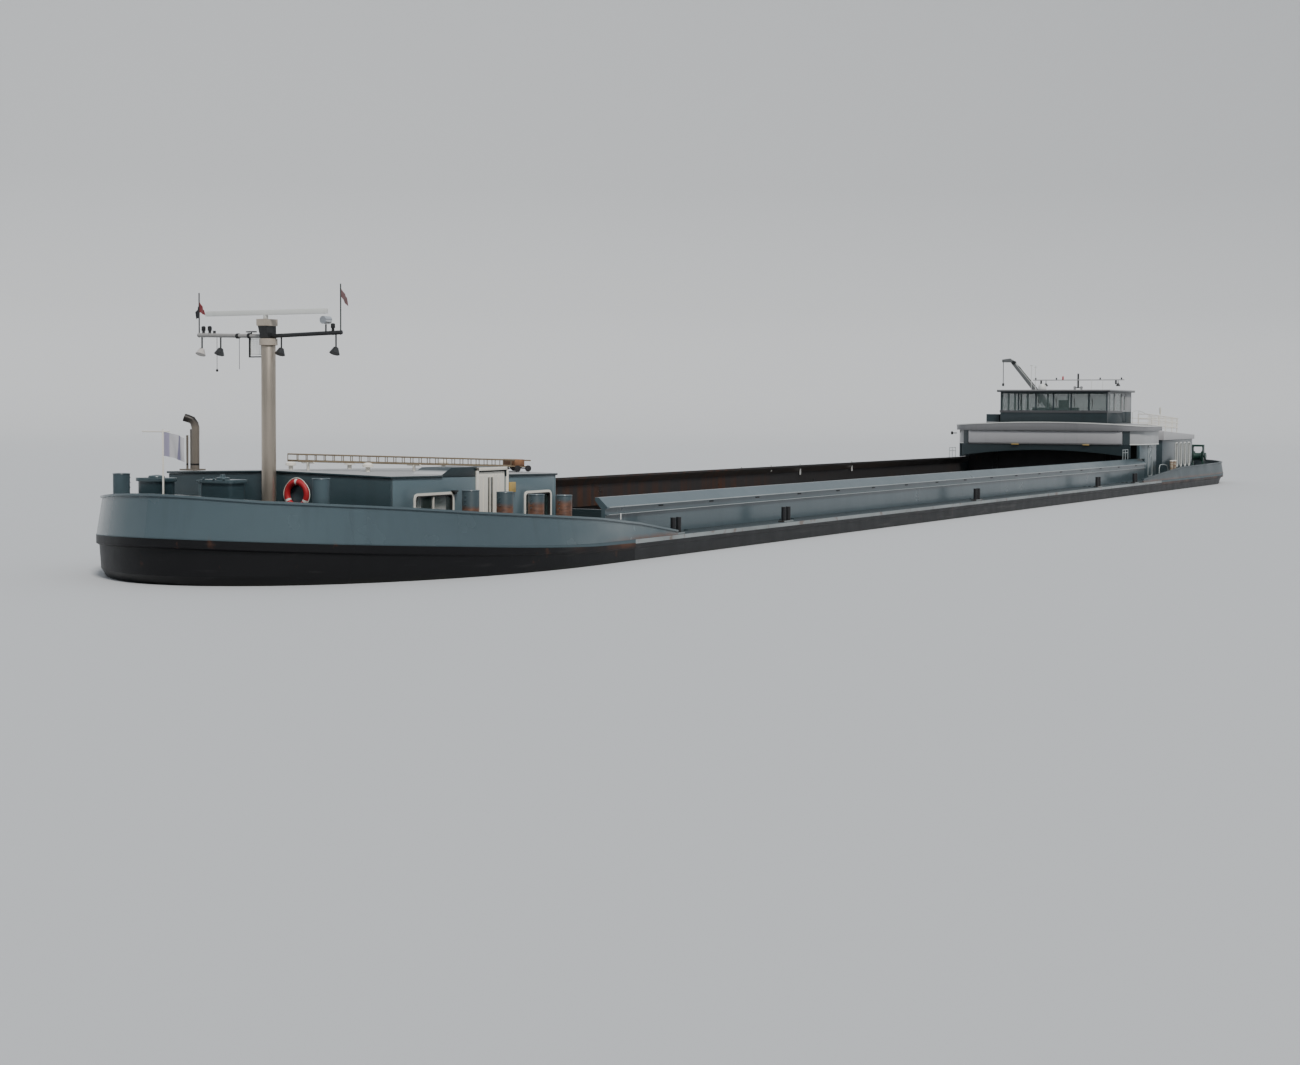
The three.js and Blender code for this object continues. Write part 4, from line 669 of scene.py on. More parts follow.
class Form:
    """Points and faces of one mesh, collected form by form."""

    def __init__(self):
        self.points, self.faces = [], []

    def add(self, points, faces):
        start = len(self.points)
        self.points += [Vector(point) for point in points]
        self.faces += [[start + i for i in face] for face in faces]
        return self

    def box(self, low, high):
        (x0, y0, z0), (x1, y1, z1) = low, high
        points = [(x, y, z) for x in (x0, x1) for y in (y0, y1) for z in (z0, z1)]
        return self.add(points, [(0, 1, 3, 2), (4, 6, 7, 5), (0, 4, 5, 1), (2, 3, 7, 6), (0, 2, 6, 4), (1, 5, 7, 3)])

    def sweep(self, rings):
        """Skins rings of equal count and closes both ends."""
        count = len(rings[0])
        points = [point for ring in rings for point in ring]
        faces = [list(range(count - 1, -1, -1)), [len(points) - count + i for i in range(count)]]
        for level in range(len(rings) - 1):
            faces += strips(level, count)
        return self.add(points, faces)

    def prism(self, outline, shift):
        """An outline of points pushed along a vector."""
        return self.sweep([outline, [point + shift for point in outline]])

    def rod(self, start, end, radius, sides=10):
        return self.pipe([start, end], radius, sides)

    def pipe(self, path, radius, sides=8):
        """A round bar along a path, with its section carried without twist."""
        last = len(path) - 1
        ahead = [(path[min(i + 1, last)] - path[max(i - 1, 0)]).normalized() for i in range(len(path))]
        side = ahead[0].orthogonal().normalized()
        rings = []
        for point, direction in zip(path, ahead):
            side = (side - direction * side.dot(direction)).normalized()
            rings.append([point + out * radius for out in circle(side, direction.cross(side), sides)])
        return self.sweep(rings)

    def hoop(self, centre, normal, radius, thickness, sides=8, steps=32):
        """A round bar bent round a circle, by its place, radii and the count of its faces, in millimetres."""
        centre, normal = spot(*centre), Vector(normal).normalized()
        u = normal.orthogonal().normalized()
        points = [centre + out * (radius / 1000) + ring * (thickness / 1000)
                  for out in circle(u, normal.cross(u), steps) for ring in circle(out, normal, sides)]
        return self.add(points, [face for level in range(steps) for face in strips(level, sides, len(points))])

    def turned(self, centre, axis, profile, sides=20):
        """A profile of [radius, height] in millimetres turned round an axis, from one flat face to the other."""
        u = axis.orthogonal().normalized()
        return self.sweep([[centre + axis * (height / 1000) + out * (radius / 1000)
                            for out in circle(u, axis.cross(u), sides)] for radius, height in profile])

    def frame_of(self, centre, u, half, corner, width, depth):
        """A rounded upright window frame: a ring between two rounded outlines."""
        shift = u.cross(UP) * depth
        outer = rounded(centre, u, half[0] + width, half[1] + width, corner + width)
        inner = rounded(centre, u, *half, corner)
        count = len(outer)
        points = [*outer, *inner, *[p + shift for p in outer], *[p + shift for p in inner]]
        faces = []
        for i in range(count):
            j = (i + 1) % count
            faces += [(i, j, count + j, count + i), (2 * count + i, 3 * count + i, 3 * count + j, 2 * count + j),
                      (i, 2 * count + i, 2 * count + j, j), (count + i, count + j, 3 * count + j, 3 * count + i)]
        return self.add(points, faces)

    def pane(self, centre, u, half, corner, depth):
        return self.prism(rounded(centre, u, *half, corner), u.cross(UP) * depth)

    # The rest take places and sizes as in the drawing, in millimetres
    def block(self, fore, back, y0, y1, bottom, top):
        return self.box((aft(back), y0 / 1000, up(bottom)), (aft(fore), y1 / 1000, up(top)))

    def bar(self, start, end, radius, sides=10):
        return self.rod(spot(*start), spot(*end), radius / 1000, sides)

    def post(self, distance, across, low, high, radius, sides=10):
        return self.bar((distance, across, low), (distance, across, high), radius, sides)

    def upright(self, distance, across, height, profile, sides=18):
        return self.turned(spot(distance, across, height), UP, profile, sides)

    def ribbon(self, path, low, high, half, rise=lambda across: 0):
        """A flat bar on edge along a path of [distance, across], raised by its place."""
        rings = []
        for i, (distance, across) in enumerate(path):
            before, after = path[max(i - 1, 0)], path[min(i + 1, len(path) - 1)]
            way = Vector((before[0] - after[0], after[1] - before[1], 0)).normalized()
            side = Vector((-way.y, way.x, 0)) * half / 1000
            rings.append([spot(distance, across, z + rise(across)) + side * a for a, z in
                          ((-1, low), (1, low), (1, high), (-1, high))])
        return self.sweep(rings)


def rounded(centre, u, half_u, half_v, corner, steps=5):
    """Points of an upright rectangle with round corners, u along its foot."""
    points = []
    for quarter, (a, b) in enumerate(((1, 1), (-1, 1), (-1, -1), (1, -1))):
        middle = centre + u * a * (half_u - corner) + UP * b * (half_v - corner)
        for i in range(steps + 1):
            angle = pi / 2 * (quarter + i / steps)
            points.append(middle + (u * cos(angle) + UP * sin(angle)) * corner)
    return points


def add_piece(name, form, paint, bevel=0.0, body="hull", angle=35, stands_for=()):
    """Makes one piece of the barge from a Form or a mesh, and puts it on its body."""
    mesh = form
    if isinstance(form, Form):
        mesh = bpy.data.meshes.new(name)
        mesh.from_pydata(form.points, [], form.faces)
    work = bmesh.new()
    work.from_mesh(mesh)
    if isinstance(form, Form):
        bmesh.ops.recalc_face_normals(work, faces=work.faces)
    if bevel:
        sharp = [edge for edge in work.edges if edge.calc_face_angle(0) > radians(angle)]
        bmesh.ops.bevel(work, geom=sharp, offset=bevel, segments=2, profile=0.5, affect="EDGES", clamp_overlap=True)
    for face in work.faces:
        face.smooth = True
    for edge in work.edges:
        edge.smooth = len(edge.link_faces) == 2 and edge.calc_face_angle(0) < radians(angle)
    work.to_mesh(mesh)
    work.free()
    mesh.materials.clear()
    mesh.materials.append(finish(paint))
    piece = bpy.data.objects.new(name, mesh)
    bpy.context.scene.collection.objects.link(piece)
    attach(piece, body)
    if stands_for:
        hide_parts(*stands_for)
    return piece


def dress(node, paint, slot=None, bevel=0.0, angle=35):
    """Stands in for a node with the same shape, its curves smooth and its edges eased."""
    source = frame["nodes"][node].data
    mesh = bpy.data.meshes.new(node + "_finished")
    mesh.from_pydata([v.co.copy() for v in source.vertices], [], [tuple(p.vertices) for p in source.polygons])
    work = bmesh.new()
    work.from_mesh(mesh)
    bmesh.ops.remove_doubles(work, verts=work.verts, dist=2e-6)
    bmesh.ops.dissolve_limit(work, angle_limit=radians(0.5), verts=work.verts, edges=work.edges)
    work.to_mesh(mesh)
    work.free()
    return add_piece(node + "_finished", mesh, paint, bevel, BODY_OF[node], angle, (node,))


def dress_all(*table):
    """Dresses nodes; a row is node, paint, slot, bevel and angle, and SIDE in its name stands for either side; the
    slot is not used.
    """
    for node, *finishing in table:
        for name in dict.fromkeys(node.replace("SIDE", side) for side, _ in SIDES):
            dress(name, *finishing)


def repaint(paint, *nodes):
    """Gives CAD nodes a finish; their shape stays."""
    for node in nodes:
        data = frame["nodes"][node].data
        data.materials.clear()
        data.materials.append(finish(paint))


def cloth(name, surface, paint, body, across=24, down=14, thickness=0.0005):
    """A sheet of cloth from a function of two shares, and the size that it was cut to."""
    grid = [[Vector(surface(i / across, j / down)) for j in range(down + 1)] for i in range(across + 1)]
    points, faces = [], []
    for i, row in enumerate(grid):
        for j, place in enumerate(row):
            along = grid[min(i + 1, across)][j] - grid[max(i - 1, 0)][j]
            drop = grid[i][min(j + 1, down)] - grid[i][max(j - 1, 0)]
            points += [place + along.cross(drop).normalized() * thickness * s for s in (-0.5, 0.5)]

    def at(i, j, layer):
        return 2 * (i * (down + 1) + j) + layer

    for i in range(across):
        for j in range(down):
            faces.append((at(i, j, 0), at(i, j + 1, 0), at(i + 1, j + 1, 0), at(i + 1, j, 0)))
            faces.append((at(i, j, 1), at(i + 1, j, 1), at(i + 1, j + 1, 1), at(i, j + 1, 1)))
    faces += [(at(i, j, 0), at(i + 1, j, 0), at(i + 1, j, 1), at(i, j, 1)) for i in range(across) for j in (0, down)]
    faces += [(at(i, j, 0), at(i, j + 1, 0), at(i, j + 1, 1), at(i, j, 1)) for j in range(down) for i in (0, across)]
    piece = add_piece(name, Form().add(points, faces), paint, body=body, angle=60)
    return piece


# Geometry Nodes: rows and rails
def new_tree(name, inputs):
    """A geometry node group with named inputs; each is name, socket type and default."""
    group = bpy.data.node_groups.new(name, "GeometryNodeTree")
    for label, kind, default in [("Geometry", "Geometry", None), *inputs, ("Material", "Material", None)]:
        socket = group.interface.new_socket(label, in_out="INPUT", socket_type="NodeSocket" + kind)
        if default is not None:
            socket.default_value = default
    group.interface.new_socket("Geometry", in_out="OUTPUT", socket_type="NodeSocketGeometry")
    tree = Tree(group)
    entry = group.nodes.new("NodeGroupInput")
    return tree, {socket.name: Value(tree, socket) for socket in entry.outputs if socket.name}


def close_tree(tree, geometry, material):
    """Every tree ends in Realize Instances and Set Material."""
    realized = tree.node("GeometryNodeRealizeInstances", None, {0: geometry})
    painted = tree.node("GeometryNodeSetMaterial", None, {0: realized, "Material": material})
    tree.tree.links.new(painted.socket, tree.tree.nodes.new("NodeGroupOutput").inputs[0])
    return tree.tree


def row_tree(name, solid, settings, sizes):
    """Equal solids, one after the other from a start, by a step; sizes are the inputs of the solid's own node."""
    tree, given = new_tree(name, [
        ("Start", "Vector", (0, 0, 0)), ("Step", "Vector", (0.1, 0, 0)), ("Count", "Int", 2),
        ("Turn", "Rotation", (0, 0, 0)), *sizes])
    line = tree.node("GeometryNodeMeshLine", {"mode": "OFFSET"}, {
        "Count": given["Count"], "Start Location": given["Start"], "Offset": given["Step"]})
    one = tree.node(solid, None, {**settings, **{label: given[label] for label, _, _ in sizes}})
    row = tree.node("GeometryNodeInstanceOnPoints", None, {
        "Points": line, "Instance": one, "Rotation": given["Turn"]})
    return close_tree(tree, row, given["Material"])


def block_tree():
    return row_tree("Row of blocks", "GeometryNodeMeshCube", {}, [("Size", "Vector", (0.01, 0.01, 0.01))])


def rod_tree():
    return row_tree("Row of rods", "GeometryNodeMeshCylinder", {"Vertices": 8},
                    [("Radius", "Float", 0.002), ("Depth", "Float", 0.01)])


def rail_tree():
    """Posts at even spacing along a line on the deck, with three rails along it."""
    tree, given = new_tree("Guard rail", [
        ("Spacing", "Float", 0.1), ("Height", "Float", 0.1), ("Post", "Float", 0.002),
        ("Lowest", "Float", 0.39), ("Middle", "Float", 0.70), ("Rail", "Float", 0.002)])

    def lifted(geometry, share):
        rise = tree.node("ShaderNodeCombineXYZ", None, {2: given["Height"] * share})
        return tree.node("GeometryNodeTransform", None, {0: geometry, "Translation": rise})

    path = tree.node("GeometryNodeMeshToCurve", None, {0: given["Geometry"]})
    feet = tree.node("GeometryNodeResampleCurve", {"mode": "LENGTH"}, {0: path, "Length": given["Spacing"]})
    post = tree.node("GeometryNodeMeshCylinder", None, {
        "Vertices": 8, "Radius": given["Post"], "Depth": given["Height"]})
    parts = [tree.node("GeometryNodeInstanceOnPoints", None, {"Points": feet, "Instance": lifted(post, 0.5)})]
    ring = tree.node("GeometryNodeCurvePrimitiveCircle", None, {"Resolution": 8, "Radius": given["Rail"]})
    for share in (given["Lowest"], given["Middle"], 0.99):
        parts.append(tree.node("GeometryNodeCurveToMesh", None, {0: lifted(path, share), 1: ring, "Fill Caps": True}))
    joined = tree.tree.nodes.new("GeometryNodeJoinGeometry")
    for part in reversed(parts):
        tree.tree.links.new(part.socket, joined.inputs[0])
    return close_tree(tree, Value(tree, joined.outputs[0]), given["Material"])


TREES = {}


def grow(name, build, values, path=None):
    """Runs a node tree once and gives its result as a plain mesh."""
    if build not in TREES:
        TREES[build] = build()
    mesh = bpy.data.meshes.new(name)
    if path:
        mesh.from_pydata(path, [(i, i + 1) for i in range(len(path) - 1)], [])
    host = bpy.data.objects.new(name, mesh)
    bpy.context.scene.collection.objects.link(host)
    modifier = host.modifiers.new("Grow", "NODES")
    modifier.node_group = TREES[build]
    sockets = {item.name: item.identifier for item in TREES[build].interface.items_tree if item.in_out == "INPUT"}
    for key, value in values.items():
        modifier[sockets[key]] = tuple(value) if isinstance(value, Vector) else value
    graph = bpy.context.evaluated_depsgraph_get()
    result = bpy.data.meshes.new_from_object(host.evaluated_get(graph), depsgraph=graph)
    bpy.data.objects.remove(host)
    return result


def merged(name, meshes):
    """Several plain meshes as one."""
    work = bmesh.new()
    for mesh in meshes:
        work.from_mesh(mesh)
    whole = bpy.data.meshes.new(name)
    work.to_mesh(whole)
    work.free()
    return whole


# A row of blocks is its start, step, count and size; a row of rods is its start, step, count, radius, depth and turn
BLOCKS = (block_tree, ("Start", "Step", "Count", "Size"))
RODS = (rod_tree, ("Start", "Step", "Count", "Radius", "Depth", "Turn"))


def rows(name, kind, paint, table, bevel=0.0, body="hull"):
    build, labels = kind
    meshes = [grow(name, build, {**dict(zip(labels, row)), "Material": finish(paint)}) for row in table]
    return add_piece(name, merged(name, meshes), paint, bevel, body)


def guard_rails(name, paint, paths):
    """Guard rails of the user's sizes along paths on a deck."""
    s = bpy.context.scene.barge_rails
    values = {"Spacing": s.spacing, "Height": s.height, "Post": s.post, "Rail": s.rail, "Material": finish(paint)}
    return add_piece(name, merged(name, [grow(name, rail_tree, values, path) for path in paths]), paint)


class BargeOperator:
    """What every operator of the barge shares."""

    bl_options = {"REGISTER"}

    def execute(self, context):
        self.make(context.scene)
        return {"FINISHED"}


class BARGE_OT_stage(BargeOperator, bpy.types.Operator):
    """Sets up the camera, the lights and the floor at the waterline, open where the hold is"""

    bl_idname = "barge.stage"
    bl_label = "Stage"

    # Opening over the hold, and the radius and height of each ring of the floor and its backdrop
    HOLD = (aft(1205), aft(6642), 0.52)
    RINGS = ((19, 0), (21, 0.15), (22.6, 0.8), (23.6, 2.0), (24, 4.0), (24, 12.0))
    # Camera fitted to the photograph: focal length, width and middles are in its pixels, angles in radians
    FOCAL, WIDTH, MIDDLE, IMAGE_MIDDLE, SENSOR = 1974.5, 1300, 487.5, 532.5, 36
    YAW, PITCH, ROLL, PLACE = 0.5049, 0.0387, 0.004, (7.6174, 3.128, 0.6957)

    def make(self, scene):
        self.camera(scene)
        self.floor(scene)
        self.lights(scene, scene.barge_stage)

    def floor(self, scene):
        fore, back, half = self.HOLD
        turns = [2 * pi * k / scene.barge_stage.sides for k in range(scene.barge_stage.sides)]
        turns = sorted([*turns, *(atan2(y, x) % (2 * pi) for x in (fore, back) for y in (half, -half))])
        points, faces, far, least = [], [], 99, 1e-9
        for c, d in ((cos(turn), sin(turn)) for turn in turns):
            along = (fore if c > 0 else back) / c if abs(c) > least else far
            reach = min(along, half / abs(d) if abs(d) > least else far)
            points.append((reach * c, reach * d, up(0)))
        for level, (radius, height) in enumerate(self.RINGS):
            points += [(radius * cos(turn), radius * sin(turn), height + up(0)) for turn in turns]
            faces += strips(level, len(turns))
        mesh = bpy.data.meshes.new("studio_floor")
        mesh.from_pydata(points, [], faces)
        for polygon in mesh.polygons:
            polygon.use_smooth = True
        mesh.materials.append(finish("studio_floor"))
        floor = bpy.data.objects.new("studio_floor", mesh)
        scene.collection.objects.link(floor)

    def camera(self, scene):
        forward, right = Vector((-cos(self.YAW), -sin(self.YAW), 0)), Vector((-sin(self.YAW), cos(self.YAW), 0))
        view = forward * cos(self.PITCH) - UP * sin(self.PITCH)
        top = UP * cos(self.PITCH) + forward * sin(self.PITCH)
        side = right * cos(self.ROLL) + top * sin(self.ROLL)
        top = top * cos(self.ROLL) - right * sin(self.ROLL)
        data = bpy.data.cameras.new("camera")
        data.sensor_width = self.SENSOR
        data.lens = self.FOCAL / self.WIDTH * self.SENSOR
        data.shift_y = (self.MIDDLE - self.IMAGE_MIDDLE) / self.WIDTH
        data.clip_end = 200
        camera = bpy.data.objects.new("camera", data)
        camera.matrix_world = Matrix.Translation(self.PLACE) @ Matrix((side, top, -view)).transposed().to_4x4()
        scene.collection.objects.link(camera)
        scene.camera = camera

    def lights(self, scene, s):
        sun = bpy.data.lights.new("sun", "SUN")
        sun.energy = s.sun
        sun.angle = radians(12)
        sun.color = (1.0, 0.97, 0.93)
        lamp = bpy.data.objects.new("sun", sun)
        lamp.rotation_euler = Vector((0.55, 0.60, 0.95)).to_track_quat("Z", "Y").to_euler()
        scene.collection.objects.link(lamp)
        world = bpy.data.worlds.new("soft_sky")
        world.use_nodes = True
        background = world.node_tree.nodes["Background"]
        background.inputs["Color"].default_value = (0.80, 0.86, 0.93, 1)
        background.inputs["Strength"].default_value = s.sky
        scene.world = world


class BARGE_OT_hull(BargeOperator, bpy.types.Operator):
    """Finishes the hull, bulwarks, tanks and coamings"""

    bl_idname = "barge.hull"
    bl_label = "Hull"

    def make(self, scene):
        dress_all(("bow_hull", "bottom_paint", "black_paint", 0, 25),
                  ("stern_hull", "bottom_paint", "black_paint", 0, 25),
                  ("bulwark_bow_SIDE", "hull_teal", "teal_paint", 0, 25),
                  ("bulwark_stern_SIDE", "stern_teal", "teal_paint", 0, 25))
        repaint("side_tank", "side_tank_port", "side_tank_starboard")
        repaint("coaming_teal", "coaming_port", "coaming_starboard")
        # Dark teal on the fore coaming is painted shade on its forward face
        repaint("dark_teal", "coaming_fore", "aft_house_front")
        repaint("hold_plate", "hold_floor")
        repaint("hold_black", "hold_bulkhead_aft")
        self.coaming_edges()
        self.bulwark_stays()
        self.hold_ladders()
        self.deck_gear()

    def coaming_edges(self):
        still = (0, 0, 0)
        edge = [((aft(3950), side * y, up(z)), still, 1, (5.42, 0.0016, high))
                for _, side in SIDES for y, z, high in ((0.4860, 138.2, 0.0022), (0.4845, 118.4, 0.0016))]
        rows("coaming_rail_edges", BLOCKS, "edge_line", edge)
        # Rows of black blocks under the coaming's rail stand for the shade inside its openings: painted shade
        slot_shade_rows = [((aft(6500), side * 0.4788, up(132)), (0.31, 0, 0), 17, (0.026, 0.0012, 0.004)) for _, side in SIDES]
        rows("coaming_slots", BLOCKS, "black_rubber", slot_shade_rows)
        posts = Form()
        for distance, low in ((3940, 150), (4222, 143), (4516, 122), (5085, 124)):
            posts.block(distance - 2.4, distance + 2.4, -457, -452, low, 169)
        posts.post(1185, 552, 110, 127, 1.5).post(1490, 548, 57, 86, 1.5)
        add_piece("coaming_stanchions", posts, "white_paint")

    def bulwark_stays(self):
        """Brackets inside the bow bulwark, that follow its curve; a stay is its distance and its bulwark's top."""
        form = Form()
        for distance, height in ((640, 150), (800, 138), (960, 127), (1120, 115), (1270, 96)):
            edge = 572.5 * sqrt(1 - max(1 - distance / BOW_LENGTH, 0) ** 2) - 9
            deck, top = sheer(distance) + 1, height - 8
            for _, side in SIDES:
                form.prism([spot(distance, side * edge, deck), spot(distance, side * (edge - 18), deck),
                            spot(distance, side * (edge - 1.5 - (top - deck) * 0.16), top)], Vector((0.003, 0, 0)))
        add_piece("bulwark_stays", form, "hull_teal")

    def hold_ladders(self):
        """Rungs and side bars on the fore and aft ends of the hold, down to its floor."""
        bars, rungs, floor, pitch = Form(), [], -250, 28
        for distance, top in ((1247, 125), (6626, 220)):
            for y in (-300, 300):
                for edge in (-13, 13):
                    bars.block(distance - 2, distance + 2, y + edge - 1, y + edge + 1, floor, top)
                rungs.append((spot(distance, y, floor + pitch / 2), (0, 0, pitch / 1000), (top - floor) // pitch,
                              0.0012, 0.026, SIDEWAYS))
        add_piece("hold_ladder_bars", bars, "black_metal", bevel=0.0004)
        rows("hold_ladder_rungs", RODS, "black_metal", rungs)

    def deck_gear(self):
        """Rings on the side decks, and coiled ropes by the fore coaming and on the stern."""
        metal, rope = Form(), Form()
        for distance in (1560, 2280, 4020, 5540, 6170):
            for _, side in SIDES:
                metal.hoop((distance, side * 505, 59), UP, 7, 1.4)
                metal.upright(distance + 90, side * 500, 56, [(6, 0), (6, 3), (4, 4)], 14)
        for turn in range(5):
            for place, radius in (((1210, 452, 62), 22), ((7950, -470, 71), 24)):
                rope.hoop((*place[:2], place[2] + turn * 6), UP, radius - turn * 1.6, 3.6, steps=28)
        add_piece("deck_rings_and_caps", metal, "dark_teal")
        add_piece("rope_coils", rope, "rope_coil")


class BARGE_OT_foredeck(BargeOperator, bpy.types.Operator):
    """Finishes the foredeck with its windlass, posts, staff and flag"""

    bl_idname = "barge.foredeck"
    bl_label = "Foredeck"

    def make(self, scene):
        dress_all(("fore_posts_SIDE", "post_paint", "dark_teal_paint", 0.0012),
                  ("windlass_frame", "deck_teal", "dark_teal_paint", 0.0012),
                  ("windlass_drum", "deck_teal", "stainless", 0.0008),
                  ("bow_flagstaff", "cream_paint", "stainless"))
        self.posts()
        self.windlass()
        self.front_locker()
        cloth("bow_flag", self.flag, "flag_cloth", "hull")

    def flag(self, out, drop):
        wave = 0.006 * out * sin(8.2 * out + 1.1 * drop) + 0.002 * out * sin(17 * out - 3 * drop)
        return (aft(62) + wave, (1.6 + 65 * out) / 1000, up(344 - 13 * out ** 1.4 - 54 * drop))

    def posts(self):
        """A rim and three rope pins on each post at the bow and on each mooring post."""
        form = Form()
        for _, side in SIDES:
            form.hoop((246, side * 304, 238.6), UP, 19.5, 1.6, steps=24)
            for height in (229, 217, 205):
                form.bar((264, side * 304, height), (276, side * 304, height), 1.1, 6)
            for distance, top in ((632, 204), (782, 195), (927, 184), (1063, 177)):
                form.hoop((distance, side * 452, top - 1.4), UP, 20.5, 1.4, steps=24)
                for height in (top - 34, top - 24, top - 14):
                    form.bar((distance - 27, side * 452, height), (distance - 18, side * 452, height), 1.0, 6)
        add_piece("post_rims", form, "house_teal")

    def windlass(self):
        form, chain = Form(), Form()
        for y0, y1 in ((51, 150), (-150, -51)):
            form.block(112, 184, y0 - 3, y1 + 3, 176, 182)
        for y in (70, 100, 130):
            form.bar((118, y, 236), (118, y, 240), 3, 8)
        form.upright(148, 100, 236, [(16, 0), (16, 4), (6, 6), (6, 11)])
        form.upright(148, -100, 236, [(20, 0), (18, 5), (4, 7)])
        add_piece("windlass_trim", form, "deck_teal", 0.0008)
        for link in range(9):
            chain.hoop((112 - link * 8, 26, 150 - link), (0, 1, 0.9 if link % 2 else -0.9), 4.6, 1.4, 6, 12)
        for y in (-26, 26):
            chain.upright(36, y, sheer(36) + 1, [(13, 0), (13, 6), (10, 10)])
        add_piece("anchor_chain_and_pipes", chain, "black_metal")

    def front_locker(self):
        """Locker on the front of the fore house with a lid in lighter teal, a painted highlight on its top, and vents
        and a hatch on the foredeck.
        """
        box, lid = Form().block(426, 455, -222, -113, 118, 216), Form().block(422, 455, -226, -109, 216.4, 221)
        add_piece("front_locker", box, "deck_teal", 0.0012)
        # The lid's lighter teal is a painted highlight on the locker's top
        add_piece("front_locker_lid", lid, "house_teal", 0.0010)
        gear, deck = Form(), sheer(300)
        for y in (-90, 90):
            gear.upright(330, y, sheer(330), [(8, 0), (8, 34), (17, 36), (15, 46), (4, 50)])
        gear.block(272, 330, -36, 36, deck - 3, deck + 12).block(276, 326, -32, 32, deck + 12, deck + 17)
        add_piece("foredeck_vents_and_hatch", gear, "deck_teal", 0.0010)


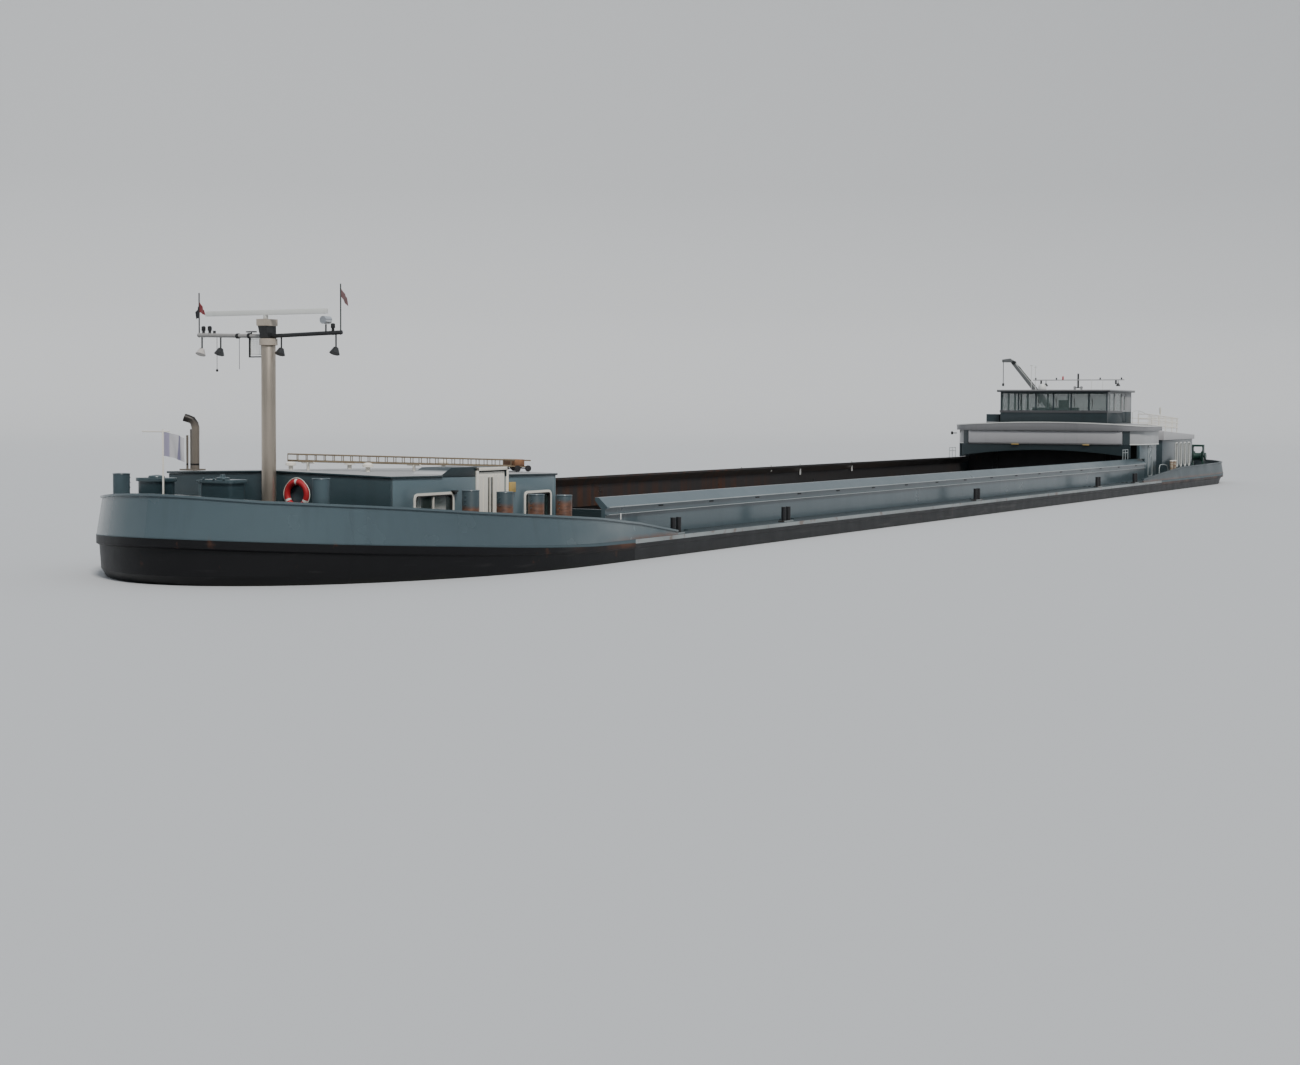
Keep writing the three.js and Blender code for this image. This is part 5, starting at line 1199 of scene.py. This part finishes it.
class BARGE_OT_fore_house(BargeOperator, bpy.types.Operator):
    """Finishes the fore house with its windows, hood, door and gear"""

    bl_idname = "barge.fore_house"
    bl_label = "Fore house"

    WINDOWS = ((550, 712, 118, 192), (1041, 1169, 108, 182))

    def make(self, scene):
        dress_all(("fore_house_wall_SIDE", "fore_teal", "teal_paint", 0.0006),
                  ("fore_house_wall_front", "front_teal", "dark_teal_paint", 0.001),
                  ("fore_house_wall_aft", "fore_teal", "teal_paint", 0.001),
                  ("fore_house_roof", "roof_paint", "panel_paint", 0.001),
                  ("companionway_hood", "hood_paint", "dark_teal_paint", 0.001),
                  ("fore_house_door", "cream_paint", "white_paint", 0.0008),
                  ("exhaust_pipes", "sooty_pipe", "stainless"))
        self.windows()
        self.curtains()
        self.door()
        self.life_ring()
        self.gangway()
        self.fittings()

    def windows(self):
        frames, glass, seals = Form(), Form(), Form()
        for fore, back, low, high in self.WINDOWS:
            for _, side in SIDES:
                centre = spot((fore + back) / 2, side * 345, (low + high) / 2)
                half = ((back - fore) / 2000, (high - low) / 2000)
                out, u = Vector((0, side, 0)), Vector((-side, 0, 0))
                inset = [(half[0] - by, half[1] - by) for by in (0.003, 0.0065, 0.005)]
                frames.frame_of(centre - out * 0.006, u, inset[0], 0.009, 0.0062, 0.0082)
                seals.frame_of(centre - out * 0.005, u, inset[1], 0.006, 0.0036, 0.0062)
                glass.pane(centre - out * 0.0045, u, inset[2], 0.007, 0.0016)
                bar = Vector((0.0015, 0.002, half[1] - 0.004))
                frames.box(centre - bar - out * 0.002, centre + bar - out * 0.002)
        add_piece("fore_house_window_frames", frames, "cream_paint")
        add_piece("fore_house_window_seals", seals, "black_rubber")
        add_piece("fore_house_panes", glass, "thin_glass")

    def curtains(self):
        """Gathered curtains behind the panes of the first window on each side."""
        for side, sign in SIDES:
            for count, (fore, back) in enumerate(((560, 598), (642, 702)), 1):
                def folds(along, drop, fore=fore, back=back, sign=sign):
                    swing = 2.6 * sin(along * (back - fore) * 0.75) * (0.8 + 0.2 * drop)
                    return (aft(fore + (back - fore) * along), sign * (329 + swing) / 1000, up(187 - 64 * drop))
                cloth(f"fore_curtain_{side}_{count}", folds, "curtain_cloth", "hull",
                      across=44, down=6)

    def door(self):
        """Panels, pane and handle on the door, and the frame on the wall round it."""
        form, casing = Form(), Form()
        for fore, back in ((829, 866), (893, 941)):
            form.block(fore, back, 343.6, 345.6, 84, 232)
        for fore in (846, 874, 889, 915):
            form.block(fore, fore + 3, 345.2, 347.0, 88, 228)
        form.bar((936, 345, 160), (936, 352, 160), 2.2).bar((936, 351, 160), (920, 351, 160), 1.8)
        add_piece("fore_door_panels", form, "cream_paint", body="fore_door")
        add_piece("fore_door_pane", Form().block(869, 890, 343.8, 345.0, 90, 226), "window_glass", body="fore_door")
        for fore, back, low in ((812, 820, 74), (949.5, 957, 74), (812, 957, 243.5)):
            casing.block(fore, back, 344.5, 349.8, low, 251.5)
        add_piece("fore_door_frame", casing, "cream_paint", 0.0006)

    def life_ring(self):
        """Life ring on the front wall, with its grab line and the bracket under it."""
        place = (446.5, 72, 191)
        ring, line = Form().hoop(place, (1, 0, 0), 30, 7.6, 16, 64), Form()
        for quarter in range(4):
            path = []
            for i in range(9):
                turn = radians(45 + 90 * quarter + 90 * i / 8)
                reach = 0.0378 + 0.0022 * sin(pi * i / 8)
                path.append(spot(*place) + Vector((0.001, cos(turn) * reach, sin(turn) * reach)))
            line.pipe(path, 0.0009, 6)
        line.block(446, 456, 68, 76, 157, 160)
        add_piece("life_ring", ring, "ring_cloth")
        add_piece("life_ring_line", line, "cream_paint")

    def gangway(self):
        """Gangway stowed on the roof: two trussed side beams with rungs, on two rests and four wheels."""
        start, end = spot(520, 0, 269), spot(1170, 263, 245)
        whole, pitch, half = end - start, 0.0255, 0.026
        way = whole.normalized()
        side = Vector((way.y, -way.x, 0)).normalized()
        beams, wheels, rests = Form(), Form(), Form()
        for sign in (-1, 1):
            for lift in (0, 0.017):
                shift = side * sign * half + UP * lift
                beams.rod(start + shift, end + shift, 0.0019, 8)
        count = int(whole.length / pitch)
        turn = -atan2(side.x, side.y) if side.y > 0 else atan2(side.x, -side.y)
        table = [(start + UP * 0.002, way * pitch, count, 0.0016, 2 * half, (pi / 2, 0, turn))]
        table += [(start + side * sign * half + UP * 0.0085, way * pitch, count, 0.0011, 0.017, UPRIGHT)
                  for sign in (-1, 1)]
        add_piece("gangway_beams", beams, "gangway_wood")
        rows("gangway_rungs", RODS, "gangway_wood", table)
        for distance in (1126, 1158):
            low = start + whole * ((distance - 520) / 650)
            low.z = up(241)
            for sign in (-1, 1):
                wheels.turned(low + side * (sign * 0.033 - 0.003), side, [(4, 0), (8.5, 0.5), (8.5, 5.5), (4, 6)], 18)
            wheels.rod(low - side * 0.034, low + side * 0.034, 0.0014, 8)
            wheels.rod(low, low + UP * 0.010, 0.002, 8)
        add_piece("gangway_wheels", wheels, "black_rubber")
        corners = [side * s * 0.028 + UP * z for s, z in ((-1, 0.001), (1, 0.001), (1, 0.0195), (-1, 0.0195))]
        cover = Form().sweep([[start + whole * share + c for c in corners] for share in (0.925, 0.97)])
        add_piece("gangway_end", cover, "rusty_orange", bevel=0.001)
        for share, low in ((0.06, 246), (0.5, 242)):
            foot = start + whole * share
            rests.rod(Vector((foot.x, foot.y, up(low - 5))), foot - UP * 0.001, 0.004, 12)
            rests.rod(foot - UP * 0.003 - side * 0.031, foot - UP * 0.003 + side * 0.031, 0.0022, 10)
        add_piece("gangway_rests", rests, "cream_paint")

    def fittings(self):
        """Lamp and box on the side wall, and mushroom vents on the roof."""
        lamp, vents = Form(), Form()
        lamp.block(703, 723, 344.5, 354, 194, 198).bar((713, 349, 197), (713, 352, 189), 5, 12)
        for distance, y, low in ((665, 120, 238), (720, -170, 236), (980, -180, 232), (1080, 60, 236)):
            vents.upright(distance, y, low, [(6, 0), (6, 14), (14, 15), (13.5, 21), (8, 25), (2, 26)], 20)
        add_piece("side_lamp", lamp, "black_metal", bevel=0.0006)
        add_piece("side_box", Form().block(959.5, 985, 344.5, 354, 185, 211), "yellow_paint", bevel=0.0012)
        add_piece("roof_vents", vents, "cream_paint")


class BARGE_OT_mast(BargeOperator, bpy.types.Operator):
    """Finishes the mast, its cross arm, pennants and the radar"""

    bl_idname = "barge.mast"
    bl_label = "Mast"

    # Side of its staff, its reach from the staff, and the heights of its edges at the staff and at the fly
    PENNANTS = (("black", -219, -10, 652, 634, 622, 618), ("red", -219, 16, 662, 640, 636, 628),
                ("grey", 219, 19, 683, 660, 664, 640))

    def make(self, scene):
        dress_all(("mast_tube", "brushed", "stainless", 0.0012), ("mast_cross_arm", "arm_paint", "stainless", 0, 40),
                  ("radar_scanner", "white_paint", "white_paint", 0.002))
        form = Form()
        for y, low in ((-162, 492), (-91, 494)):
            form.post(429, y, low, 575, 0.7, 6)
        form.upright(429, -162, 488, [(1, 0), (3.2, 2), (3.2, 5), (1, 7)], 10)
        for y in (-95, -59):
            form.bar((429, y - 3.5, 575), (429, y + 3.5, 575), 6.8, 12)
        for y in (-205, -185, 196):
            form.upright(429, y, 588, [(2, 0), (5.2, 2), (5.2, 11), (3, 13)], 12)
        form.block(427, 431, -60, -57, 524, 572).block(427, 431, -60, -20, 522, 525)
        form.block(424, 434, -66, -40, 583, 586).post(429, -53, 575, 585, 1.6, 8)
        add_piece("mast_arm_fittings", form, "black_metal", body="mast")
        self.lattice()
        for name, *shape in self.PENNANTS:
            cloth(f"pennant_{name}", self.pennant(*shape), f"pennant_{name}", "mast",
                  12, 10, 0.0004)

    def pennant(self, staff, reach, high, high_fly, low, low_fly):
        """Surface of a pennant that waves a little towards its fly."""
        def fly(out, drop):
            top, bottom = high + (high_fly - high) * out, low + (low_fly - low) * out
            wave = 0.0030 * out * sin(9 * out + 2 * drop)
            return (aft(429) + wave, (staff + copysign(1, reach) + reach * out) / 1000,
                    up(top + (bottom - top) * drop))
        return fly

    def lattice(self):
        """White wire panel that hangs between the mast and the starboard lamps."""
        panel = Form()
        for y in (-56, -24):
            panel.post(431, y, 528, 572, 0.9, 6)
        for height in (529, 571):
            panel.bar((431, -56, height), (431, -24, height), 0.9, 6)
        add_piece("mast_panel_frame", panel, "white_paint", body="mast")
        rows("mast_panel_wires", RODS, "white_paint", [
            (spot(431, -52.5, 550), (0, 0.0045, 0), 7, 0.0005, 0.042, UPRIGHT),
            (spot(431, -40, 533), (0, 0, 0.0048), 8, 0.0005, 0.032, SIDEWAYS)], body="mast")


def house_front(fore, half, radius, back):
    """Plan of the aft house's front from its port side to its starboard side, as [distance, across]."""
    arc = [radians(90 * i / 8) for i in range(9)]
    port = [(fore + radius * (1 - cos(t)), half - radius * (1 - sin(t))) for t in arc]
    middle = [(fore, y) for y in (240, 120, 0, -120, -240)]
    return [(back, half), *reversed(port), *middle, *[(x, -y) for x, y in port], (back, -half)]


def camber(across):
    """How far the edge of the aft roof arches over its height at the sides."""
    return 18 * (1 - (across / 505) ** 2)


class BARGE_OT_aft_house(BargeOperator, bpy.types.Operator):
    """Finishes the aft house, the wheelhouse and the after cabin"""

    bl_idname = "barge.aft_house"
    bl_label = "Aft house"

    def make(self, scene):
        for side, _ in SIDES:
            dress_all((f"aft_house_wall_{side}", "house_teal", "teal_paint", 0.001),
                      (f"after_cabin_wall_{side}", "cabin_teal", "teal_paint", 0.0008))
        dress_all(("after_cabin_wall_aft", "cabin_teal", "teal_paint", 0.001),
                  ("after_cabin_roof", "cabin_roof", "white_paint", 0.001),
                  ("aft_house_fascia", "light_panel", "panel_paint", 0.001),
                  ("aft_house_roof", "aft_roof", "panel_paint", 0.002, 25),
                  ("wheelhouse_front", "dark_teal", "dark_teal_paint", 0.0008),
                  ("wheelhouse_back", "house_teal", "teal_paint", 0.0008),
                  ("wheelhouse_wall_SIDE", "wheelhouse_side", "panel_paint", 0.0008),
                  ("wheelhouse_roof", "eave_paint", "white_paint", 0.0015),
                  ("wheelhouse_door", "wheelhouse_side", "panel_paint", 0.0008),
                  ("helm_desk", "dark_teal", "dark_teal_paint", 0.002),
                  ("helm_chair", "seat_cloth", "seat_fabric", 0.003),
                  ("signal_mast", "signal_paint", "teal_paint", 0, 40))
        self.wheelhouse_panes()
        self.cabin_windows()
        self.front_trim()
        self.side_doors()
        self.wheelhouse_trim()
        self.roof_gear()

    def wheelhouse_panes(self):
        """Panes between the posts of the wheelhouse, each half a millimetre clear all round."""
        glass, door, clear, thick = Form(), Form(), 0.0005, 0.002
        middle, high = up((WINDOW_LOW + WINDOW_HIGH) / 2), (WINDOW_HIGH - WINDOW_LOW) / 2000 - clear
        for count, post, place, way in ((6, 7, 6664, 1), (5, 8, 7106, -1)):
            width = (570 - post * (count + 1)) / count
            for i in range(count):
                centre = Vector((aft(place), (-285 + post + width / 2 + i * (width + post)) / 1000, middle))
                glass.pane(centre, Vector((0, way, 0)), (width / 2000 - clear, high), 0.004, thick)
        # Along the sides, from aft; on port the row starts forward of the door
        x0, x1, post = aft(7110) + 0.0093, aft(6660) - 0.0093, 0.008
        for side, first, count in ((1, x0 + 0.165, 2), (-1, x0, 4)):
            width = (x1 - first - post * (count + 1)) / count
            for i in range(count):
                centre = Vector((first + post + width / 2 + i * (width + post), side * 0.280, middle))
                glass.pane(centre, Vector((-side, 0, 0)), (width / 2 - clear, high), 0.004, thick)
        add_piece("wheelhouse_panes", glass, "clear_glass")
        door.pane(Vector((x0 + 0.130, 0.2795, up(446))), Vector((-1, 0, 0)), (0.0205, 0.0375), 0.002, thick)
        add_piece("wheelhouse_door_pane", door, "clear_glass", body="helm_door")

    def cabin_windows(self):
        frames, glass = Form(), Form()
        for fore in (7480, 7570, 7660, 7750):
            for _, side in SIDES:
                centre, out, u = spot(fore + 23, side * 430, 170), Vector((0, side, 0)), Vector((-side, 0, 0))
                frames.frame_of(centre - out * 0.006, u, (0.0195, 0.0615), 0.008, 0.0060, 0.0085)
                glass.pane(centre - out * 0.0045, u, (0.020, 0.062), 0.007, 0.0016)
        add_piece("after_cabin_window_frames", frames, "white_paint")
        add_piece("after_cabin_panes", glass, "window_glass")

    def front_trim(self):
        """Plate, posts, lamps, horn and white edges round the front of the aft house."""
        plate, posts, edges, lamps, horn = Form(), Form(), Form(), Form(), Form()
        plate.block(6507.5, 6514, -404, 404, 240, 303)
        for _, side in SIDES:
            path = [(6508.6 + 120 - sqrt(120 ** 2 - (y - 370) ** 2), side * y) for y in (406, 414, 422, 430, 438)]
            posts.ribbon(path, 235, 304.6, 1.4)
            wing = [place for place in house_front(6509.6, 490.6, 120, 6889) if side * place[1] > 436]
            edges.ribbon(wing[::side], 234.6, 239, 0.9)
        edges.ribbon(house_front(6499.5, 505.6, 130, 6900), 326.6, 331.4, 1.0, camber)
        for y0, y1 in ((-172, -133), (203, 236)):
            lamps.block(6505, 6516, y0, y1, 230.5, 235.4)
        horn.hoop((6505.5, 383, 310), (1, 0, 0), 6.8, 1.3, steps=20)
        horn.bar((6505.5, 389, 306), (6505.5, 404, 303), 1.2, 6).bar((6560, -488, 287), (6560, -512, 287), 2.4, 8)
        horn.upright(6560, -514, 279, [(5, 0), (6, 2), (6, 14), (3, 17)], 14).post(6552, -466, 303, 289, 1.8, 8)
        add_piece("house_front_plate", plate, "front_panel", 0.0010)
        add_piece("house_front_posts", posts, "dark_teal")
        add_piece("house_edges", edges, "white_paint")
        add_piece("deck_lamps", lamps, "yellow_paint", bevel=0.0010)
        add_piece("horn_and_side_lamp", horn, "black_metal")

    def side_doors(self):
        """Doors in the side walls of the aft house, with a rail forward of each and a handrail aft of it."""
        frames, leaves, rail = Form(), Form(), Form()
        hand = ((6868, 60), (6870, 112), (6882, 126), (6905, 129), (6960, 129), (7020, 122), (7046, 104), (7049, 60))
        for _, side in SIDES:
            middle, u = spot(6769, side * 478, 150), Vector((-side, 0, 0))
            frames.frame_of(middle, u, (0.037, 0.074), 0.008, 0.0040, 0.0026)
            frames.frame_of(middle + UP * 0.038, u, (0.014, 0.014), 0.0135, 0.003, 0.0034)
            leaves.pane(middle, u, (0.036, 0.073), 0.007, 0.0016)
            handle = middle + Vector((0, side * 0.005, 0)) + u * 0.026
            rail.rod(handle, handle + UP * 0.016, 0.0014, 8)
            for distance in (6356, 6400, 6446):
                rail.post(distance, side * 452, 162, 213, 1.5, 8)
            for height in (198, 213):
                rail.bar((6353, side * 452, height), (6449, side * 452, height), 1.4, 8)
            rail.pipe([spot(x, side * 500, z) for x, z in hand], 0.0022, 8)
        add_piece("aft_house_door_frames", frames, "edge_line")
        add_piece("aft_house_doors", leaves, "house_teal", 0.0005)
        add_piece("aft_house_side_rails", rail, "edge_line")

    def wheelhouse_trim(self):
        sill, wipers, path = Form(), Form(), []
        corners = [(6926, 286.6), (6658.4, 286.6), (6658.4, -286.6), (7111.6, -286.6), (7111.6, 255)]
        for a, b in zip(corners, corners[1:]):
            path += [tuple(a[k] + (b[k] - a[k]) * share for k in (0, 1)) for share in (0, 0.02, 0.98)]
        sill.ribbon([*path, corners[-1]], 396, 407.4, 1.5)
        for y in (-190, -95, 0, 95, 190):
            wipers.bar((6656.5, y, 497), (6656.5, y + 18, 448), 0.9, 6).post(6657.5, y + 18, 470, 428, 1.2, 6)
        add_piece("wheelhouse_sill", sill, "grey_trim")
        add_piece("window_wipers", wipers, "black_rubber")

    def roof_gear(self):
        """Aerials on the wheelhouse, the lamps of its signal mast and the cabin's lantern."""
        dark, aerials, lantern, red = Form(), Form(), Form(), Form()
        for y in (-178, 217):
            dark.upright(7095, y, 538, [(10.5, 0), (11, 3), (5.5, 14), (2, 17), (1.2, 33)])
        for y in (-265, -242):
            aerials.post(7110, y, 514, 652, 1.5, 8)
        aerials.bar((7110, -273, 652), (7110, -257, 652), 1.6, 8).bar((7110, -250, 643), (7110, -234, 643), 1.6, 8)
        for y in (130, 190):
            aerials.post(6900, y, 514, 570, 1.0, 6)
        aerials.upright(6850, -120, 514.5, [(12, 0), (21, 4), (22, 16), (16, 28), (6, 33)], 24)
        lantern.upright(7456, 350, 383, [(2, 0), (2, 8), (5, 10), (5.2, 34), (5.8, 36), (4.5, 43), (1, 45)], 16)
        red.upright(7095, -84, 571, [(3, 0), (4.4, 6), (4.4, 18), (2, 22)], 14)
        add_piece("signal_deck_lamps", dark, "black_metal", body="signals")
        add_piece("wheelhouse_aerials", aerials, "white_paint")
        add_piece("cabin_lantern", lantern, "lamp_lens")
        add_piece("signal_red_lamp", red, "red_gloss", body="signals")


class BARGE_OT_crane(BargeOperator, bpy.types.Operator):
    """Finishes the deck crane with its hoses and sheaves"""

    bl_idname = "barge.crane"
    bl_label = "Crane"

    # The boom's pivot and angle, and how far its back is over its middle line at the pivot, and its taper
    PIVOT, RISE = (7500, -228, 355), radians(50)
    BACK, TAPER = 15, 5 / 434

    def on_boom(self, distance, below, side=0.0):
        """A place by its distance along the boom from the pivot and below its middle line."""
        x, y, z = self.PIVOT
        return spot(x - side, y - cos(self.RISE) * distance - sin(self.RISE) * below,
                    z + sin(self.RISE) * distance - cos(self.RISE) * below)

    def back(self, distance):
        return self.BACK - distance * self.TAPER

    def make(self, scene):
        dress_all(("crane_post", "house_teal", "teal_paint", 0.0008),
                  ("crane_boom", "boom_paint", "panel_paint", 0.0006),
                  ("crane_ram_barrel", "black_metal", "dark_teal_paint"), ("crane_ram_rod", "chrome", "stainless"),
                  ("crane_hook", "black_metal", "dark_teal_paint"))
        hoses, head, edge = Form(), Form(), Form()
        for side in (-3.2, 0.4, 4.0):
            hoses.pipe([self.on_boom(d, -self.back(d) - 1.6, side) for d in range(20, 390, 46)], 0.0013, 6)
        for d in (60, 170, 280, 372):
            head.sweep([[self.on_boom(d + a, -self.back(d) - b, s * 6.4) for a, b in
                         ((-3, -2), (3, -2), (3, 4), (-3, 4))] for s in (-1, 1)])
        for side in (-7.6, 7.6):
            head.rod(self.on_boom(418, -3, side - 1), self.on_boom(418, -3, side + 1), 0.011, 20)
            head.rod(self.on_boom(0, 0, side * 1.2 - 1), self.on_boom(0, 0, side * 1.2 + 1), 0.006, 12)
            edge.sweep([[self.on_boom(d, -self.back(d) + b, side * 0.86 + s) for b, s in
                         ((0.4, -0.5), (0.4, 0.5), (3.0, 0.5), (3.0, -0.5))] for d in (4, 424)])
        add_piece("boom_hoses", hoses, "black_rubber", body="boom")
        add_piece("boom_clamps_and_sheaves", head, "black_metal", body="boom")
        add_piece("boom_edges", edge, "white_paint", body="boom")


class BARGE_OT_stern_gear(BargeOperator, bpy.types.Operator):
    """Finishes the propeller, nozzle, rudders, engine, stern winch and stern bollards"""

    bl_idname = "barge.stern_gear"
    bl_label = "Stern gear"

    def make(self, scene):
        dress_all(("propeller_nozzle", "bottom_paint", "black_paint"), ("propeller", "bronze_cast", "bronze", 0.0015),
                  ("rudder_SIDE", "bottom_paint", "black_paint", 0.001),
                  ("engine_block", "green_paint", "green_paint", 0.004),
                  ("stern_winch_frame", "green_paint", "green_paint", 0.0012),
                  ("stern_winch_drum", "green_paint", "green_paint", 0.0008))
        self.bollards()
        # Zinc anodes in rows along the flat sides of the hull, below the water
        table = [((aft(6200), side * 0.5697, up(-150)), (1.05, 0, 0), 5, (0.060, 0.0016, 0.014)) for _, side in SIDES]
        rows("hull_anodes", BLOCKS, "zinc", table, bevel=0.0005)

    def bollards(self):
        """Bollards abreast of the house, and a hatch, vents and boxes on the stern."""
        posts, caps, box, hatch = Form(), Form(), Form(), Form()
        for _, side in SIDES:
            for distance in (7040, 7103):
                posts.upright(distance, side * 520, 56, [(9, 0), (9, 88)])
                caps.upright(distance, side * 520, 143, [(9.6, 0), (10.6, 1), (10.6, 4), (8, 6)])
            posts.block(7022, 7121, side * 520 - 13, side * 520 + 13, 56, 60)
            box.block(7800, 7840, side * 512 - 12, side * 512 + 12, 57, 84)
        add_piece("stern_bollards", posts, "worn_cream", bevel=0.0005)
        add_piece("stern_bollard_caps", caps, "cream_paint")
        hatch.block(8200, 8276, -38, 38, 61, 78).block(8196, 8280, -42, 42, 78, 82)
        for y in (-120, 120):
            hatch.upright(8180, y, 60, [(8, 0), (8, 30), (17, 32), (15, 42), (4, 46)])
        add_piece("stern_hatch_and_vents", hatch, "dark_teal", 0.0010)
        add_piece("stern_deck_boxes", box, "yellow_paint", bevel=0.0015)


class BARGE_OT_rails(BargeOperator, bpy.types.Operator):
    """Adds the guard rails round the after cabin's roof and its stairs"""

    bl_idname = "barge.rails"
    bl_label = "Guard rails"

    # The after cabin's roof: its height at its fore end, where that is, and how it falls
    ROOF_HEIGHT, ROOF_START, ROOF_SLOPE = 300.4, 7190, -24 / 670

    def roof(self, distance):
        return self.ROOF_HEIGHT + self.ROOF_SLOPE * (distance - self.ROOF_START)

    def make(self, scene):
        corners = ((7197, 300), (7197, 350), (7420, 350), (7640, 350), (7848, 350), (7848, 60))
        paths = [[spot(x, side * y, self.roof(x)) for x, y in corners] for _, side in SIDES]
        guard_rails("after_cabin_rails", "cream_paint", paths)
        table = [(spot(7210, side * 350, self.roof(7210) + 63), (-0.026, 0, 0.026 * self.ROOF_SLOPE), 25,
                  0.0014, 0.054, UPRIGHT) for _, side in SIDES]
        rows("after_cabin_balusters", RODS, "cream_paint", table)
        stairs = Form()
        hand = ((7122, 398), (7150, 405), (7200, 408.5), (7250, 408), (7310, 402), (7380, 393), (7480, 384))
        stairs.pipe([spot(x, 288, z) for x, z in hand], 0.0017, 8)
        for x, z in ((7124, 399), (7250, 408), (7478, 384)):
            stairs.post(x, 288, self.roof(max(x, self.ROOF_START)) - 1, z, 1.5, 8)
        add_piece("stair_handrail", stairs, "white_paint")


class BARGE_PT_panel(bpy.types.Panel):
    """Lists the barge's operators and settings"""

    bl_label = "River Barge"
    bl_idname = "BARGE_PT_panel"
    bl_space_type = "VIEW_3D"
    bl_region_type = "UI"
    bl_category = "Barge"

    def draw(self, context):
        for operator in OPERATORS:
            self.layout.operator(operator.bl_idname)
        for name in SETTINGS:
            group = getattr(context.scene, name)
            for setting in group.__annotations__:
                self.layout.prop(group, setting)


OPERATORS = (BARGE_OT_stage, BARGE_OT_hull, BARGE_OT_foredeck, BARGE_OT_fore_house, BARGE_OT_mast, BARGE_OT_aft_house,
             BARGE_OT_crane, BARGE_OT_stern_gear, BARGE_OT_rails)
SETTINGS = {"barge_paint": BargePaint, "barge_rails": BargeRails, "barge_stage": BargeStage}
CLASSES = (*SETTINGS.values(), *OPERATORS, BARGE_PT_panel)


def register():
    for cls in CLASSES:
        bpy.utils.register_class(cls)
    for name, group in SETTINGS.items():
        setattr(bpy.types.Scene, name, PointerProperty(type=group))


def unregister():
    for name in SETTINGS:
        delattr(bpy.types.Scene, name)
    for cls in reversed(CLASSES):
        bpy.utils.unregister_class(cls)


def main():
    register()
    bpy.ops.barge.stage()
    bpy.ops.barge.hull()
    bpy.ops.barge.foredeck()
    bpy.ops.barge.fore_house()
    bpy.ops.barge.mast()
    bpy.ops.barge.aft_house()
    bpy.ops.barge.crane()
    bpy.ops.barge.stern_gear()
    bpy.ops.barge.rails()


if __name__ == "__main__":
    main()
